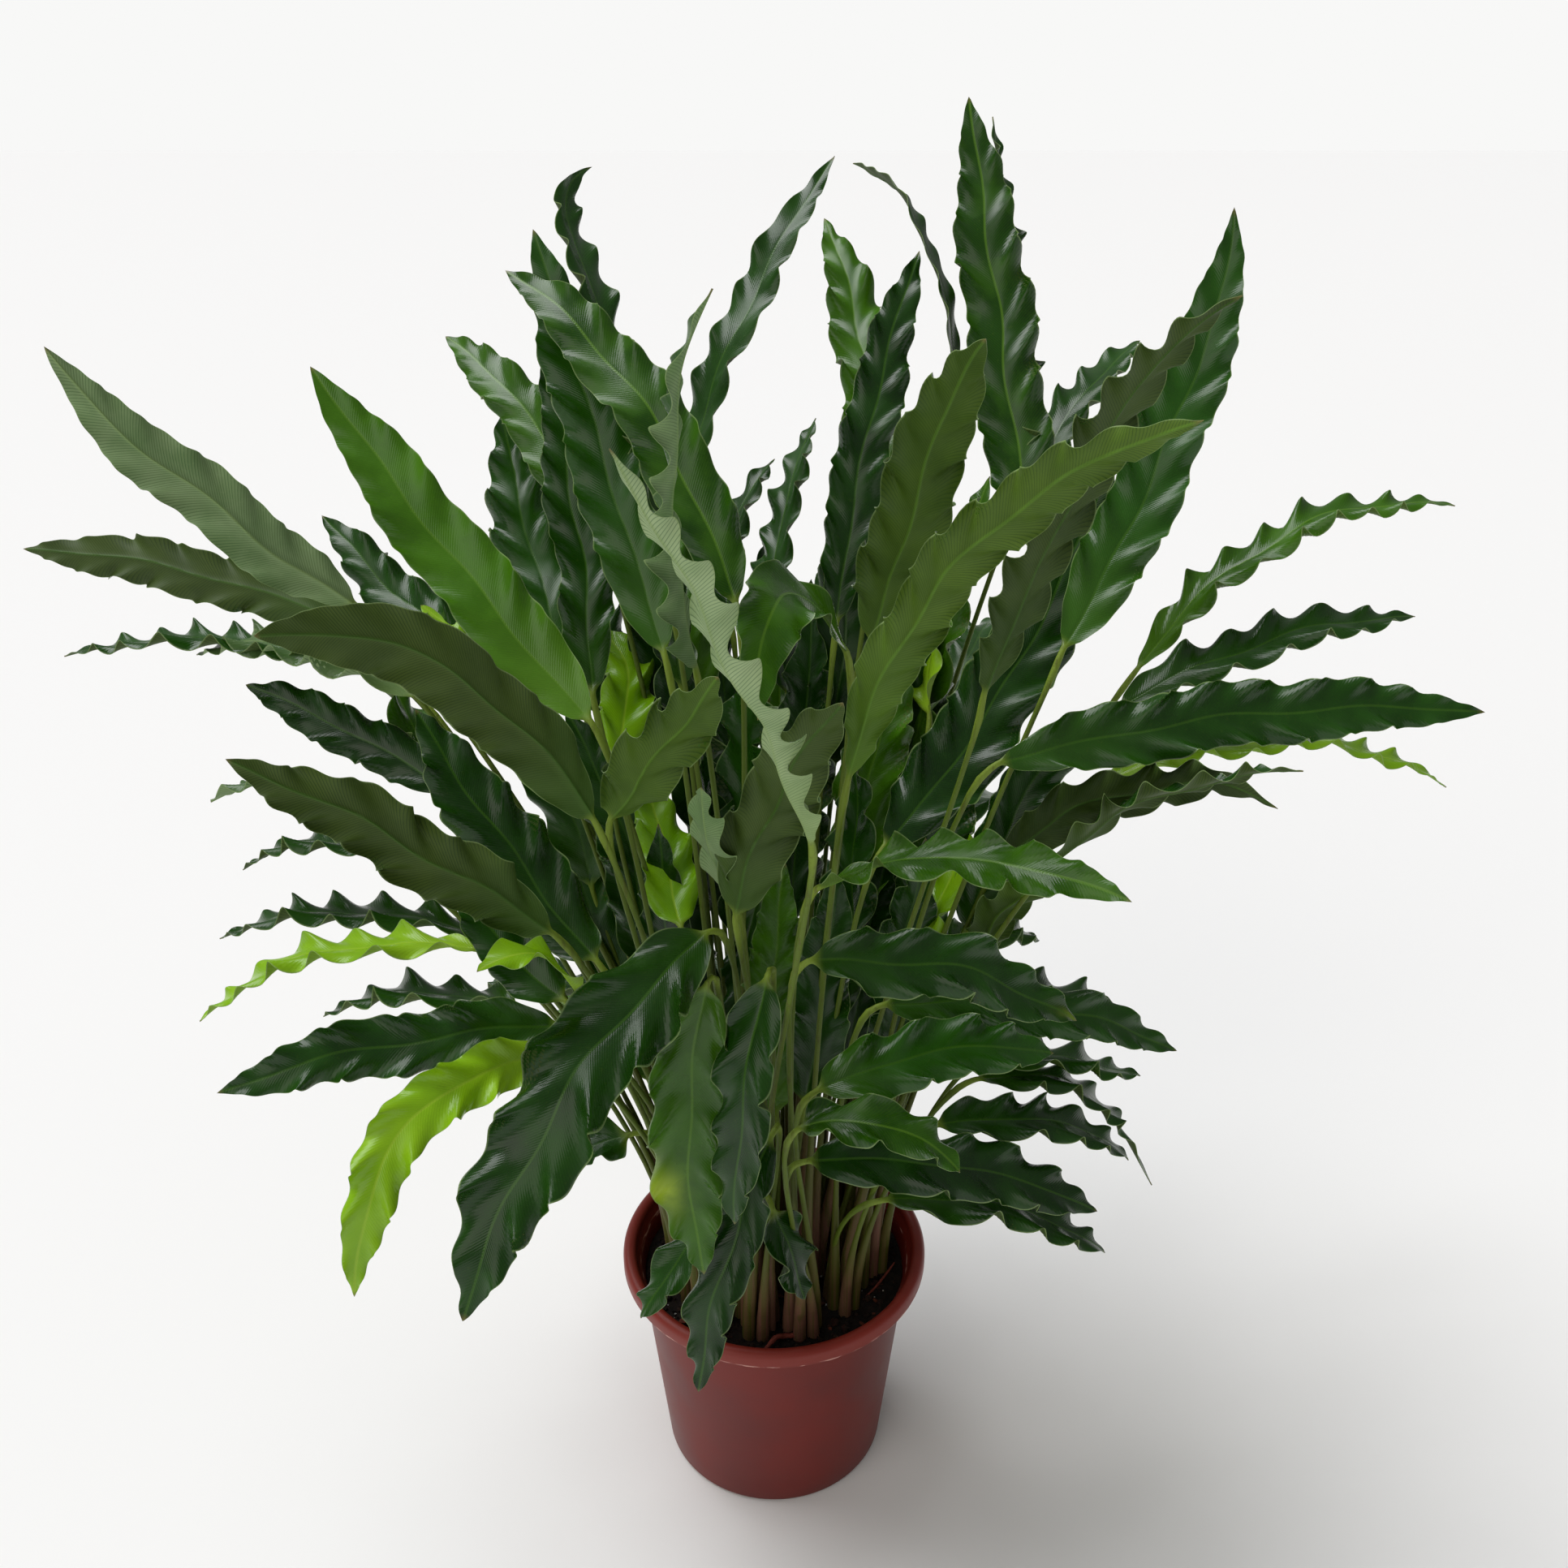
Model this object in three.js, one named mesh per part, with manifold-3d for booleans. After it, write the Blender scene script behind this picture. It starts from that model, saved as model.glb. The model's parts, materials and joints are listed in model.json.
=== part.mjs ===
// A rufibarba-type calathea in a round nursery pot.
// Millimetres, +Z up. The origin is the centre of the pot's flat underside; the plant's front is -Y.
//
// The pot is a turned shell with a rolled lip and drain holes. The soil is a plug that fills it to
// below the lip. The plant is a clump of shoots, and each shoot is a tuft of leaves. A leaf is one
// piece as grown: a sheath that stands in the soil, a petiole, a bent joint and a folded blade.

import * as THREE from "three";
import { mergeVertices } from "three/addons/utils/BufferGeometryUtils.js";
import Module from "manifold-3d";

const wasm = await Module();
wasm.setup();

// ---------------------------------------------------------------- sizes

// Pot
const POT_HEIGHT = 170;
const RIM_RADIUS = 105; // outside of the lip, the size that such a pot is sold by
const BASE_RADIUS = 77;
const POT_WALL = 2;
const POT_FLOOR = 2.5;
const LIP_HEIGHT = 11;
const LIP_THICKNESS = 4.5;
const LIP_OVERHANG = 12; // how far the lip stands out from the top of the wall
const SHOULDER_RISE = 3;
const BASE_ROUND = 3;
const RIM_ROUND = 1.5;
const DRAIN_HOLES = 8;
const DRAIN_RADIUS = 5;
const DRAIN_CIRCLE = 56; // radius of the circle that the drain holes stand on
const DRAIN_SIDES = 12;
const POT_SIDES = 64;

// Soil
const SOIL_DROP = 22; // from the top of the rim down to the soil
const SOIL_GAP = 0.3; // between the soil and the pot
const SOCKET_DEPTH = 15; // how deep each leaf's sheath stands in the soil
const SOCKET_GAP = 0.4; // a little more than LEAF_GAP, so that a sheath is clear of its own socket
const SOCKET_SIDES = 8;

// Plant
const PLANT_HEIGHT = 740; // from the soil to the highest leaf
const SCHEDULE_HEIGHT = 740; // the plant height that the leaf schedule below is drawn for
const SHEATH_RADIUS = 4.2;
const PETIOLE_RADIUS = 2.2;
const SHEATH_SHARE = 0.5; // share of the petiole over which the sheath narrows to it
const JOINT_RADIUS = 2.7; // the swollen joint under each blade
const JOINT_REACH = 30; // how far before the blade the petiole starts to bend into it
const STRAIGHT_RISE = 0.42; // share of the petiole's height over which it still points straight up
const FOOT_GAP = 1; // between the sheaths of one shoot
const LEAF_GAP = 0.35; // least space between two leaves
const MIDRIB_THICKNESS = 2; // at the base of the blade
const MIDRIB_THINNING = 0.5; // share of that which is gone at the tip
const EDGE_THICKNESS = 0.9;
const BLADE_FOLD = 0.16; // rise of the blade's edges over its midrib, per unit of half width
const SHOULDER_SHARE = 0.24; // share of the blade's length over which its base rounds out
const TAPER_START = 0.45; // where along the blade its sides start to draw in
const TAPER_POWER = 2.2; // 1 would be straight sides to the tip, and more is a fuller blade
const CURL_START = 0.7; // where along the blade a curled tip starts to drop

// Cross-sections: where they stand along the petiole and along the blade, from 0 to 1. A section of
// a leaf is six-sided, so its points fit a petiole and a folded blade alike.
const PETIOLE_STATIONS = [0, 0.2, 0.42, 0.62, 0.78, 0.9, 1];
const BLADE_STATIONS = [0.05, 0.14, 0.26, 0.38, 0.5, 0.62, 0.74, 0.85, 0.94];
const SECTION_POINTS = 6;

const soilLevel = POT_HEIGHT - SOIL_DROP;
const growth = PLANT_HEIGHT / SCHEDULE_HEIGHT;
const wallTopRadius = RIM_RADIUS - LIP_OVERHANG;
const wallTop = POT_HEIGHT - LIP_HEIGHT - SHOULDER_RISE;

// ---------------------------------------------------------------- materials

const surface = (color, roughness) => new THREE.MeshStandardMaterial({ color, roughness, metalness: 0 });
const POT_COLOUR = "#9c4436";
const POT_ROUGHNESS = 0.55;
const SOIL_COLOUR = "#241a16";
const SOIL_ROUGHNESS = 0.95;
const LEAF_COLOURS = {
  mature: "#1f4a22",
  fresh: "#3c7420",
  young: "#8fb522",
  pale: "#7d8d6a",
};
const LEAF_ROUGHNESS = 0.4;

// ---------------------------------------------------------------- leaf schedule
// Each shoot stands at a bearing (degrees from +X, anticlockwise seen from above) and a reach from
// the pot's axis. Each of its leaves has a blade that starts at `at` and ends at `to`, measured from
// the centre of the soil. `arch` lifts the blade's middle, `sway` moves it to the right seen along
// the blade, `roll` turns the blade about its length, `twist` winds it from end to end, `curl` drops
// its tip, and `wide` is the full width. Leaves are numbered in this order, and an earlier leaf
// keeps its place where a later one has to move aside.

const SHOOTS = [
  {
    bearing: -100,
    reach: 62,
    leaves: [
      { at: [-35, -90, 330], to: [-160, -230, 180], arch: 30, roll: -25, wide: 57, tone: "mature" },
      { at: [-35, -110, 310], to: [-40, -140, 125], sway: 10, wide: 48, tone: "fresh" },
      { at: [-5, -115, 310], to: [-25, -150, 165], arch: 10, roll: 5, wide: 36, tone: "mature" },
      { at: [0, -105, 200], to: [-45, -150, 40], arch: 10, roll: -20, wide: 34, tone: "mature" },
      { at: [0, -190, 440], to: [-50, -320, 660], roll: -15, twist: 40, wide: 32, tone: "pale" },
    ],
  },
  {
    bearing: -72,
    reach: 62,
    leaves: [
      { at: [20, -105, 180], to: [205, -70, 110], arch: 15, roll: 35, wide: 42, tone: "mature" },
      { at: [20, -120, 330], to: [175, -90, 270], arch: 15, roll: 45, wide: 40, tone: "mature" },
      { at: [25, -110, 235], to: [170, -60, 225], arch: 15, roll: 35, wide: 40, tone: "mature" },
      { at: [25, -110, 370], to: [170, -200, 415], arch: 20, roll: 20, twist: 70, wide: 32, tone: "fresh" },
      { at: [15, -125, 220], to: [105, -150, 210], arch: 20, roll: 15, wide: 32, tone: "fresh" },
      { at: [40, -110, 435], to: [160, -260, 655], arch: 35, roll: -60, wide: 38, tone: "fresh" },
    ],
  },
  {
    bearing: -127,
    reach: 62,
    leaves: [
      { at: [-95, -90, 400], to: [-215, -190, 560], arch: 20, roll: 100, wide: 40, curl: 25, tone: "mature" },
      { at: [-120, -100, 335], to: [-255, -170, 475], arch: 5, roll: 105, wide: 38, tone: "mature" },
      { at: [-120, -95, 270], to: [-300, -150, 265], arch: 10, roll: -55, wide: 36, tone: "mature" },
      { at: [-130, -100, 260], to: [-235, -200, 185], arch: 55, roll: -40, wide: 32, tone: "young" },
    ],
  },
  {
    bearing: -153,
    reach: 62,
    leaves: [
      { at: [-100, -40, 435], to: [-260, 60, 610], arch: -5, roll: -40, wide: 44, tone: "fresh" },
      { at: [-100, -75, 300], to: [-205, -10, 430], arch: -5, roll: -30, wide: 46, tone: "mature" },
      { at: [-170, -55, 295], to: [-345, -55, 245], arch: 25, roll: 5, wide: 32, tone: "young" },
      { at: [-155, -35, 240], to: [-290, 0, 210], arch: 15, roll: 10, wide: 36, tone: "mature" },
      { at: [-120, -75, 265], to: [-185, -40, 320], arch: -5, roll: -35, wide: 34, tone: "mature" },
    ],
  },
  {
    bearing: -40,
    reach: 62,
    leaves: [
      { at: [65, -60, 260], to: [260, -10, 190], arch: 15, roll: 50, wide: 34, tone: "mature" },
      { at: [100, -60, 170], to: [235, -20, 115], arch: 15, roll: 15, wide: 34, tone: "mature" },
      { at: [130, -20, 175], to: [245, 20, 85], arch: 25, roll: 10, wide: 30, tone: "mature" },
      { at: [170, -10, 330], to: [285, -80, 425], arch: 15, roll: -25, wide: 32, tone: "mature" },
    ],
  },
  {
    bearing: -25,
    reach: 27,
    leaves: [
      { at: [65, -30, 350], to: [210, 120, 545], arch: -25, roll: 35, wide: 52, tone: "mature" },
      { at: [55, -20, 475], to: [90, -130, 670], roll: -25, curl: 15, wide: 40, tone: "fresh" },
      { at: [120, -20, 445], to: [190, -150, 695], arch: 10, roll: -10, curl: 20, wide: 34, tone: "mature" },
      { at: [40, -60, 485], to: [-5, -170, 495], arch: 45, sway: 15, roll: -35, wide: 38, tone: "fresh" },
    ],
  },
  {
    bearing: -5,
    reach: 62,
    leaves: [
      { at: [130, -20, 400], to: [425, 20, 415], arch: 15, roll: 55, wide: 40, tone: "mature" },
      { at: [170, 20, 455], to: [285, 160, 680], arch: -20, roll: 25, wide: 44, tone: "mature" },
      { at: [145, 20, 320], to: [275, -60, 410], arch: 20, roll: -80, wide: 32, tone: "mature" },
      { at: [215, 60, 400], to: [420, 130, 435], arch: 15, roll: 15, wide: 36, tone: "mature" },
      { at: [205, 60, 345], to: [450, 100, 325], arch: 35, roll: 5, wide: 30, tone: "young" },
    ],
  },
  {
    bearing: 180,
    reach: 27,
    leaves: [
      { at: [-60, -15, 465], to: [-140, 130, 675], roll: -25, wide: 42, tone: "mature" },
      { at: [-20, -10, 485], to: [-150, 130, 645], arch: 30, roll: -35, wide: 40, tone: "fresh" },
      { at: [-105, 10, 430], to: [-140, 140, 605], sway: 5, roll: -10, wide: 34, tone: "mature" },
      { at: [-60, 35, 485], to: [-140, 200, 685], arch: 20, roll: 35, curl: -10, wide: 36, tone: "mature" },
    ],
  },
  {
    bearing: 180,
    reach: 62,
    leaves: [
      { at: [-225, -30, 500], to: [-325, -120, 650], arch: -5, roll: 85, wide: 32, tone: "pale" },
      { at: [-250, 25, 470], to: [-450, 70, 500], arch: 10, roll: 120, wide: 32, tone: "mature" },
      { at: [-175, -10, 275], to: [-360, 30, 250], arch: 20, roll: 5, wide: 34, tone: "mature" },
      { at: [-190, 0, 310], to: [-345, 50, 290], arch: 25, roll: 5, wide: 30, tone: "mature" },
      { at: [-175, 10, 330], to: [-255, 90, 430], arch: -5, roll: 25, wide: 34, tone: "fresh" },
      { at: [-195, 30, 365], to: [-325, 100, 410], arch: 5, roll: -45, wide: 32, tone: "mature" },
    ],
  },
  {
    bearing: -110,
    reach: 27,
    leaves: [
      { at: [-40, -60, 475], to: [-30, -180, 685], sway: 10, roll: 75, wide: 36, tone: "pale" },
      { at: [-20, -90, 340], to: [35, -150, 495], arch: 10, roll: -55, wide: 42, tone: "mature" },
    ],
  },
  {
    bearing: 60,
    reach: 27,
    leaves: [
      { at: [40, 100, 440], to: [95, 230, 650], arch: 20, roll: 20, wide: 36, tone: "mature" },
      { at: [65, 125, 500], to: [35, 320, 660], arch: 5, sway: 10, roll: -10, wide: 40, tone: "fresh" },
      { at: [-5, 155, 395], to: [30, 300, 525], arch: 15, sway: -5, roll: -35, wide: 32, tone: "mature" },
      { at: [-75, 130, 465], to: [40, 260, 705], arch: 20, roll: -5, twist: 50, wide: 34, tone: "mature" },
    ],
  },
  {
    bearing: 35,
    reach: 62,
    leaves: [
      { at: [165, 90, 490], to: [140, 260, 740], roll: -15, wide: 46, tone: "fresh" },
      { at: [175, 110, 505], to: [160, 280, 735], roll: 55, wide: 34, tone: "mature" },
      { at: [235, 90, 410], to: [450, 150, 500], arch: 40, roll: 5, wide: 32, tone: "fresh" },
      { at: [160, 170, 495], to: [260, 300, 580], arch: 15, roll: -5, wide: 36, tone: "mature" },
      { at: [120, 190, 560], to: [55, 330, 695], arch: 40, roll: 40, wide: 28, tone: "mature" },
    ],
  },
  {
    bearing: 135,
    reach: 62,
    leaves: [
      { at: [-120, 70, 395], to: [-185, 230, 545], sway: -5, roll: -15, wide: 48, tone: "mature" },
      { at: [-105, 110, 485], to: [-225, 260, 590], arch: 20, roll: -35, wide: 36, tone: "fresh" },
      { at: [-165, 55, 415], to: [-305, 190, 485], arch: -5, roll: -40, wide: 36, tone: "mature" },
      { at: [-245, 65, 425], to: [-460, 110, 415], arch: 15, roll: 5, wide: 34, tone: "mature" },
    ],
  },
];

// ---------------------------------------------------------------- solids

const MERGE_DISTANCE = 1e-3;

// A solid from flat arrays of vertices and triangles.
function solidFrom(positions, triangles) {
  return new wasm.Manifold(
    new wasm.Mesh({
      numProp: 3,
      vertProperties: new Float32Array(positions),
      triVerts: new Uint32Array(triangles),
    }),
  );
}

// A solid from a closed geometry, whose shared vertices are merged first.
function solidOf(geometry) {
  const bare = geometry.clone();
  bare.deleteAttribute("normal");
  bare.deleteAttribute("uv");
  const merged = mergeVertices(bare, MERGE_DISTANCE);
  return solidFrom(merged.attributes.position.array, merged.index.array);
}

function geometryOf(solid) {
  const mesh = solid.getMesh();
  const geometry = new THREE.BufferGeometry();
  geometry.setAttribute("position", new THREE.BufferAttribute(mesh.vertProperties, mesh.numProp));
  geometry.setIndex(new THREE.BufferAttribute(mesh.triVerts, 1));
  geometry.computeVertexNormals();
  return geometry;
}

// A solid turned about the Z axis from (radius, height) points.
function turned(points) {
  const profile = points.map(([radius, height]) => new THREE.Vector2(radius, height));
  return solidOf(new THREE.LatheGeometry(profile, POT_SIDES).rotateX(Math.PI / 2));
}

// An upright prism, for holes.
function post(x, y, bottom, top, radius, sides) {
  const height = top - bottom;
  const geometry = new THREE.CylinderGeometry(radius, radius, height, sides);
  return solidOf(geometry.rotateX(Math.PI / 2).translate(x, y, bottom + height / 2));
}

// ---------------------------------------------------------------- pot and soil

// The wall's outer radius at a height, from the base up to the shoulder.
const wallRadius = (height) => BASE_RADIUS + ((wallTopRadius - BASE_RADIUS) * height) / wallTop;

function makePot() {
  const lipBottom = POT_HEIGHT - LIP_HEIGHT;
  const lipInside = RIM_RADIUS - LIP_THICKNESS;
  const baseBend = BASE_ROUND / 3; // the one point that rounds the edge of the base
  const shell = turned([
    [0, 0],
    [BASE_RADIUS - BASE_ROUND, 0],
    [wallRadius(baseBend) - baseBend, baseBend],
    [wallRadius(BASE_ROUND), BASE_ROUND],
    [wallTopRadius, wallTop],
    [RIM_RADIUS - RIM_ROUND, lipBottom],
    [RIM_RADIUS, lipBottom + RIM_ROUND],
    [RIM_RADIUS, POT_HEIGHT - RIM_ROUND],
    [RIM_RADIUS - RIM_ROUND, POT_HEIGHT],
    [lipInside + RIM_ROUND, POT_HEIGHT],
    [lipInside, POT_HEIGHT - RIM_ROUND],
    [lipInside, lipBottom + POT_WALL],
    [wallTopRadius - POT_WALL, wallTop],
    [wallRadius(POT_FLOOR) - POT_WALL, POT_FLOOR],
    [0, POT_FLOOR],
  ]);
  let pot = shell;
  for (let i = 0; i < DRAIN_HOLES; i += 1) {
    const turn = (2 * Math.PI * i) / DRAIN_HOLES;
    const x = DRAIN_CIRCLE * Math.cos(turn);
    const y = DRAIN_CIRCLE * Math.sin(turn);
    pot = pot.subtract(post(x, y, -POT_FLOOR, 2 * POT_FLOOR, DRAIN_RADIUS, DRAIN_SIDES));
  }
  return pot;
}

function makeSoil(feet) {
  const bottom = POT_FLOOR + SOIL_GAP;
  const inside = (height) => wallRadius(height) - POT_WALL - SOIL_GAP;
  let soil = turned([
    [0, bottom],
    [inside(bottom), bottom],
    [inside(soilLevel), soilLevel],
    [0, soilLevel],
  ]);
  const socketRadius = (SHEATH_RADIUS + SOCKET_GAP) / Math.cos(Math.PI / SOCKET_SIDES);
  const socketBottom = soilLevel - SOCKET_DEPTH - SOCKET_GAP;
  for (const foot of feet) {
    soil = soil.subtract(post(foot.x, foot.y, socketBottom, soilLevel + 1, socketRadius, SOCKET_SIDES));
  }
  return soil;
}

// ---------------------------------------------------------------- shoots

const UP = new THREE.Vector3(0, 0, 1);
const footPitch = 2 * SHEATH_RADIUS + FOOT_GAP;

// A point of the leaf schedule, in the part's own frame.
const placeInPlant = (point) =>
  new THREE.Vector3(...point).multiplyScalar(growth).add(new THREE.Vector3(0, 0, soilLevel));

// Radius of the ring that a shoot's sheaths stand on.
const tuftRadius = (count) => footPitch / (2 * Math.sin(Math.PI / count));

// Moves shoots apart until no two share ground, and keeps each one inside the soil.
function spreadShoots(shoots) {
  const rounds = 200;
  const hair = 0.01; // so that rounding leaves no two shoots touching
  const soilRadius = wallRadius(soilLevel) - POT_WALL - SOIL_GAP;
  for (let round = 0; round < rounds; round += 1) {
    for (const a of shoots) {
      for (const b of shoots) {
        const away = a.centre.clone().sub(b.centre);
        const short = a.ground + b.ground - away.length();
        if (a === b || short <= 0) continue;
        away.setLength(short / 2 + hair);
        a.centre.add(away);
        b.centre.sub(away);
      }
      a.centre.clampLength(0, soilRadius - a.ground - POT_WALL);
    }
  }
}

// How near two petioles come, measured at equal heights.
function spacing(a, b) {
  const levels = 16;
  const top = Math.min(a.height, b.height);
  let least = Infinity;
  for (let i = 1; i <= levels; i += 1) {
    const height = (top * i) / levels;
    least = Math.min(least, a.across(height).distanceTo(b.across(height)));
  }
  return least;
}

// Where a petiole stands at a height, were it to rise straight and then lean more and more.
function roughPetiole(leaf, foot) {
  const leanPower = 1.5;
  const at = placeInPlant(leaf.at);
  const height = at.z - foot.z;
  const goal = new THREE.Vector2(at.x, at.y);
  const start = new THREE.Vector2(foot.x, foot.y);
  return { height, across: (level) => start.clone().lerp(goal, (level / height) ** leanPower) };
}

// Every order of the numbers from 0 up to count.
function orders(count) {
  if (count === 0) return [[]];
  return orders(count - 1).flatMap((order) =>
    Array.from({ length: count }, (_, i) => [...order.slice(0, i), count - 1, ...order.slice(i)]),
  );
}

// A foot for each leaf, evenly round the shoot, in the order that keeps the petioles apart.
function plantShoot(shoot) {
  const centre = new THREE.Vector3(shoot.centre.x, shoot.centre.y, soilLevel);
  const count = shoot.leaves.length;
  const outward = Math.atan2(centre.y, centre.x);
  const feet = shoot.leaves.map((_, i) => {
    const turn = outward + (2 * Math.PI * (i + 0.5)) / count;
    const spoke = new THREE.Vector3(Math.cos(turn), Math.sin(turn), 0);
    return centre.clone().addScaledVector(spoke, tuftRadius(count));
  });
  const alike = 0.1; // orders whose least gaps differ by less are told apart by the sum of gaps
  const paths = shoot.leaves.map((leaf) => feet.map((foot) => roughPetiole(leaf, foot)));
  let best = { least: -1, sum: 0 };
  for (const order of orders(count)) {
    let least = Infinity;
    let sum = 0;
    for (let i = 0; i < count; i += 1) {
      for (let j = i + 1; j < count; j += 1) {
        const gap = spacing(paths[i][order[i]], paths[j][order[j]]);
        least = Math.min(least, gap);
        sum += gap;
      }
    }
    const level = Math.abs(least - best.least) <= alike;
    if (least > best.least + alike || (level && sum > best.sum)) {
      best = { least, sum, order };
    }
  }
  shoot.leaves.forEach((leaf, i) => {
    leaf.foot = feet[best.order[i]];
  });
}

// ---------------------------------------------------------------- leaf

const along = (a, b, share) => a.clone().lerp(b, share);

// Half width of a blade as a share of its widest: round at the base, nearly parallel, and drawn out
// to a point.
function bladeOutline(t) {
  const base = Math.sqrt(1 - (1 - Math.min(t / SHOULDER_SHARE, 1)) ** 2);
  const tip = 1 - (Math.max(t - TAPER_START, 0) / (1 - TAPER_START)) ** TAPER_POWER;
  return base * tip;
}

// The sections of a leaf from its foot to its tip. A move turns its blade about the pot's axis and
// lifts it, and bows its petiole out sideways.
function leafSections(leaf, { turn, lift, bow }) {
  const place = (point) => placeInPlant(point).applyAxisAngle(UP, turn).addScaledVector(UP, lift);
  const { arch = 0, sway = 0, roll = 0, twist = 0, curl = 0 } = leaf;
  const at = place(leaf.at);
  const to = place(leaf.to);
  const chord = to.clone().sub(at).normalize();
  const side = chord.clone().cross(UP).normalize();
  const face = side.clone().cross(chord);

  const bladePoint = (t) => {
    const bulge = 4 * t * (1 - t) * growth;
    const drop = curl * growth * (Math.max(t - CURL_START, 0) / (1 - CURL_START)) ** 2;
    return along(at, to, t)
      .addScaledVector(face, arch * bulge - drop)
      .addScaledVector(side, sway * bulge);
  };
  const bladeWay = (t) => {
    const step = 0.02;
    const ahead = bladePoint(Math.min(t + step, 1));
    const behind = bladePoint(Math.max(t - step, 0));
    return ahead.sub(behind).normalize();
  };
  const bladeFace = (t) => {
    const angle = THREE.MathUtils.degToRad(roll + twist * (t - 0.5));
    const turnedFace = face.clone().multiplyScalar(Math.cos(angle)).addScaledVector(side, Math.sin(angle));
    const way = bladeWay(t);
    return turnedFace.addScaledVector(way, -turnedFace.dot(way)).normalize();
  };

  const blade = BLADE_STATIONS.map((t) => ({
    centre: bladePoint(t),
    way: bladeWay(t),
    face: bladeFace(t),
    half: (leaf.wide / 2) * bladeOutline(t),
    thick: MIDRIB_THICKNESS * (1 - MIDRIB_THINNING * t),
  }));

  const foot = leaf.foot;
  const rise = (at.z - foot.z) * STRAIGHT_RISE;
  const risen = foot.clone().addScaledVector(UP, rise).add(bow);
  const underBlade = at.clone().addScaledVector(bladeWay(0), -JOINT_REACH).addScaledVector(bow, 0.5);
  const stem = new THREE.CubicBezierCurve3(foot, risen, underBlade, at);
  const petiole = [];
  let stemFace = bladeFace(0);
  for (const t of [...PETIOLE_STATIONS].reverse()) {
    const way = t === 0 ? UP : stem.getTangent(t);
    stemFace = stemFace.clone().addScaledVector(way, -stemFace.dot(way)).normalize();
    const slim = THREE.MathUtils.lerp(SHEATH_RADIUS, PETIOLE_RADIUS, Math.min(t / SHEATH_SHARE, 1));
    const radius = t === 1 ? JOINT_RADIUS : slim;
    petiole.unshift({ centre: stem.getPoint(t), way, face: stemFace, radius });
  }
  const sunk = { ...petiole[0], centre: foot.clone().addScaledVector(UP, -SOCKET_DEPTH) };
  return { sections: [sunk, ...petiole, ...blade], tip: bladePoint(1) };
}

// The six points of a section, clockwise from the top seen along the leaf: the top of the midrib,
// the right edge's two corners, the keel, and the left edge's two corners. A petiole is a hexagon.
// `spare` thickens it all round.
function sectionPoints({ centre, way, face, radius, half, thick }, spare) {
  const side = way.clone().cross(face);
  const point = (across, out) => centre.clone().addScaledVector(side, across).addScaledVector(face, out);
  if (radius !== undefined) {
    return Array.from({ length: SECTION_POINTS }, (_, i) => {
      const angle = (2 * Math.PI * i) / SECTION_POINTS;
      return point((radius + spare) * Math.sin(angle), (radius + spare) * Math.cos(angle));
    });
  }
  const edge = half + spare;
  const lift = half * BLADE_FOLD;
  const skin = EDGE_THICKNESS / 2 + spare;
  const keel = thick / 2 + spare;
  return [
    point(0, keel),
    point(edge, lift + skin),
    point(edge, lift - skin),
    point(0, -keel),
    point(-edge, lift - skin),
    point(-edge, lift + skin),
  ];
}

// A closed leaf through its sections, ending in a point at the tip.
function leafSolid({ sections, tip }, spare = 0) {
  const rings = sections.map((section) => sectionPoints(section, spare));
  const positions = rings.flat().flatMap((point) => point.toArray());
  const last = sections[sections.length - 1];
  const end = tip.clone().addScaledVector(last.way, spare);
  positions.push(...end.toArray());
  const pole = sections.length * SECTION_POINTS;
  const triangles = [];
  for (let i = 0; i < SECTION_POINTS; i += 1) {
    const j = (i + 1) % SECTION_POINTS;
    for (let ring = 0; ring + SECTION_POINTS < pole; ring += SECTION_POINTS) {
      const next = ring + SECTION_POINTS;
      triangles.push(ring + i, ring + j, next + j);
      triangles.push(ring + i, next + j, next + i);
    }
    triangles.push(pole - SECTION_POINTS + i, pole - SECTION_POINTS + j, pole);
    if (i > 0 && j > 0) triangles.push(0, j, i);
  }
  return solidFrom(positions, triangles);
}

// ---------------------------------------------------------------- placing

const boxOf = (solid) => {
  const { min, max } = solid.boundingBox();
  return new THREE.Box3(new THREE.Vector3(...min), new THREE.Vector3(...max));
};

// How far a leaf may move aside, in degrees about the pot's axis and in millimetres
const TURN_LIMIT = 18;
const TURN_STEP = 1.5;
const LIFT_LIMIT = 24;
const LIFT_STEP = 8;
const BOW_SIZES = [12, 26, 44];
const BOW_WAYS = 6;

// Small moves of a leaf, least first, that are tried until its blade and petiole are clear. A degree
// of turn counts as much as 4 mm of lift or 12 mm of bow.
function smallMoves() {
  const bows = [new THREE.Vector3()];
  for (const size of BOW_SIZES) {
    for (let i = 0; i < BOW_WAYS; i += 1) {
      bows.push(new THREE.Vector3(size, 0, 0).applyAxisAngle(UP, (2 * Math.PI * i) / BOW_WAYS));
    }
  }
  const moves = [];
  for (let degrees = -TURN_LIMIT; degrees <= TURN_LIMIT; degrees += TURN_STEP) {
    for (let lift = -LIFT_LIMIT; lift <= LIFT_LIMIT; lift += LIFT_STEP) {
      for (const bow of bows) {
        const cost = Math.abs(degrees) + Math.abs(lift) / 4 + bow.length() / 12;
        moves.push({ turn: THREE.MathUtils.degToRad(degrees), lift: lift * growth, bow, cost });
      }
    }
  }
  return moves.sort((a, b) => a.cost - b.cost);
}

const MOVES = smallMoves();

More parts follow.
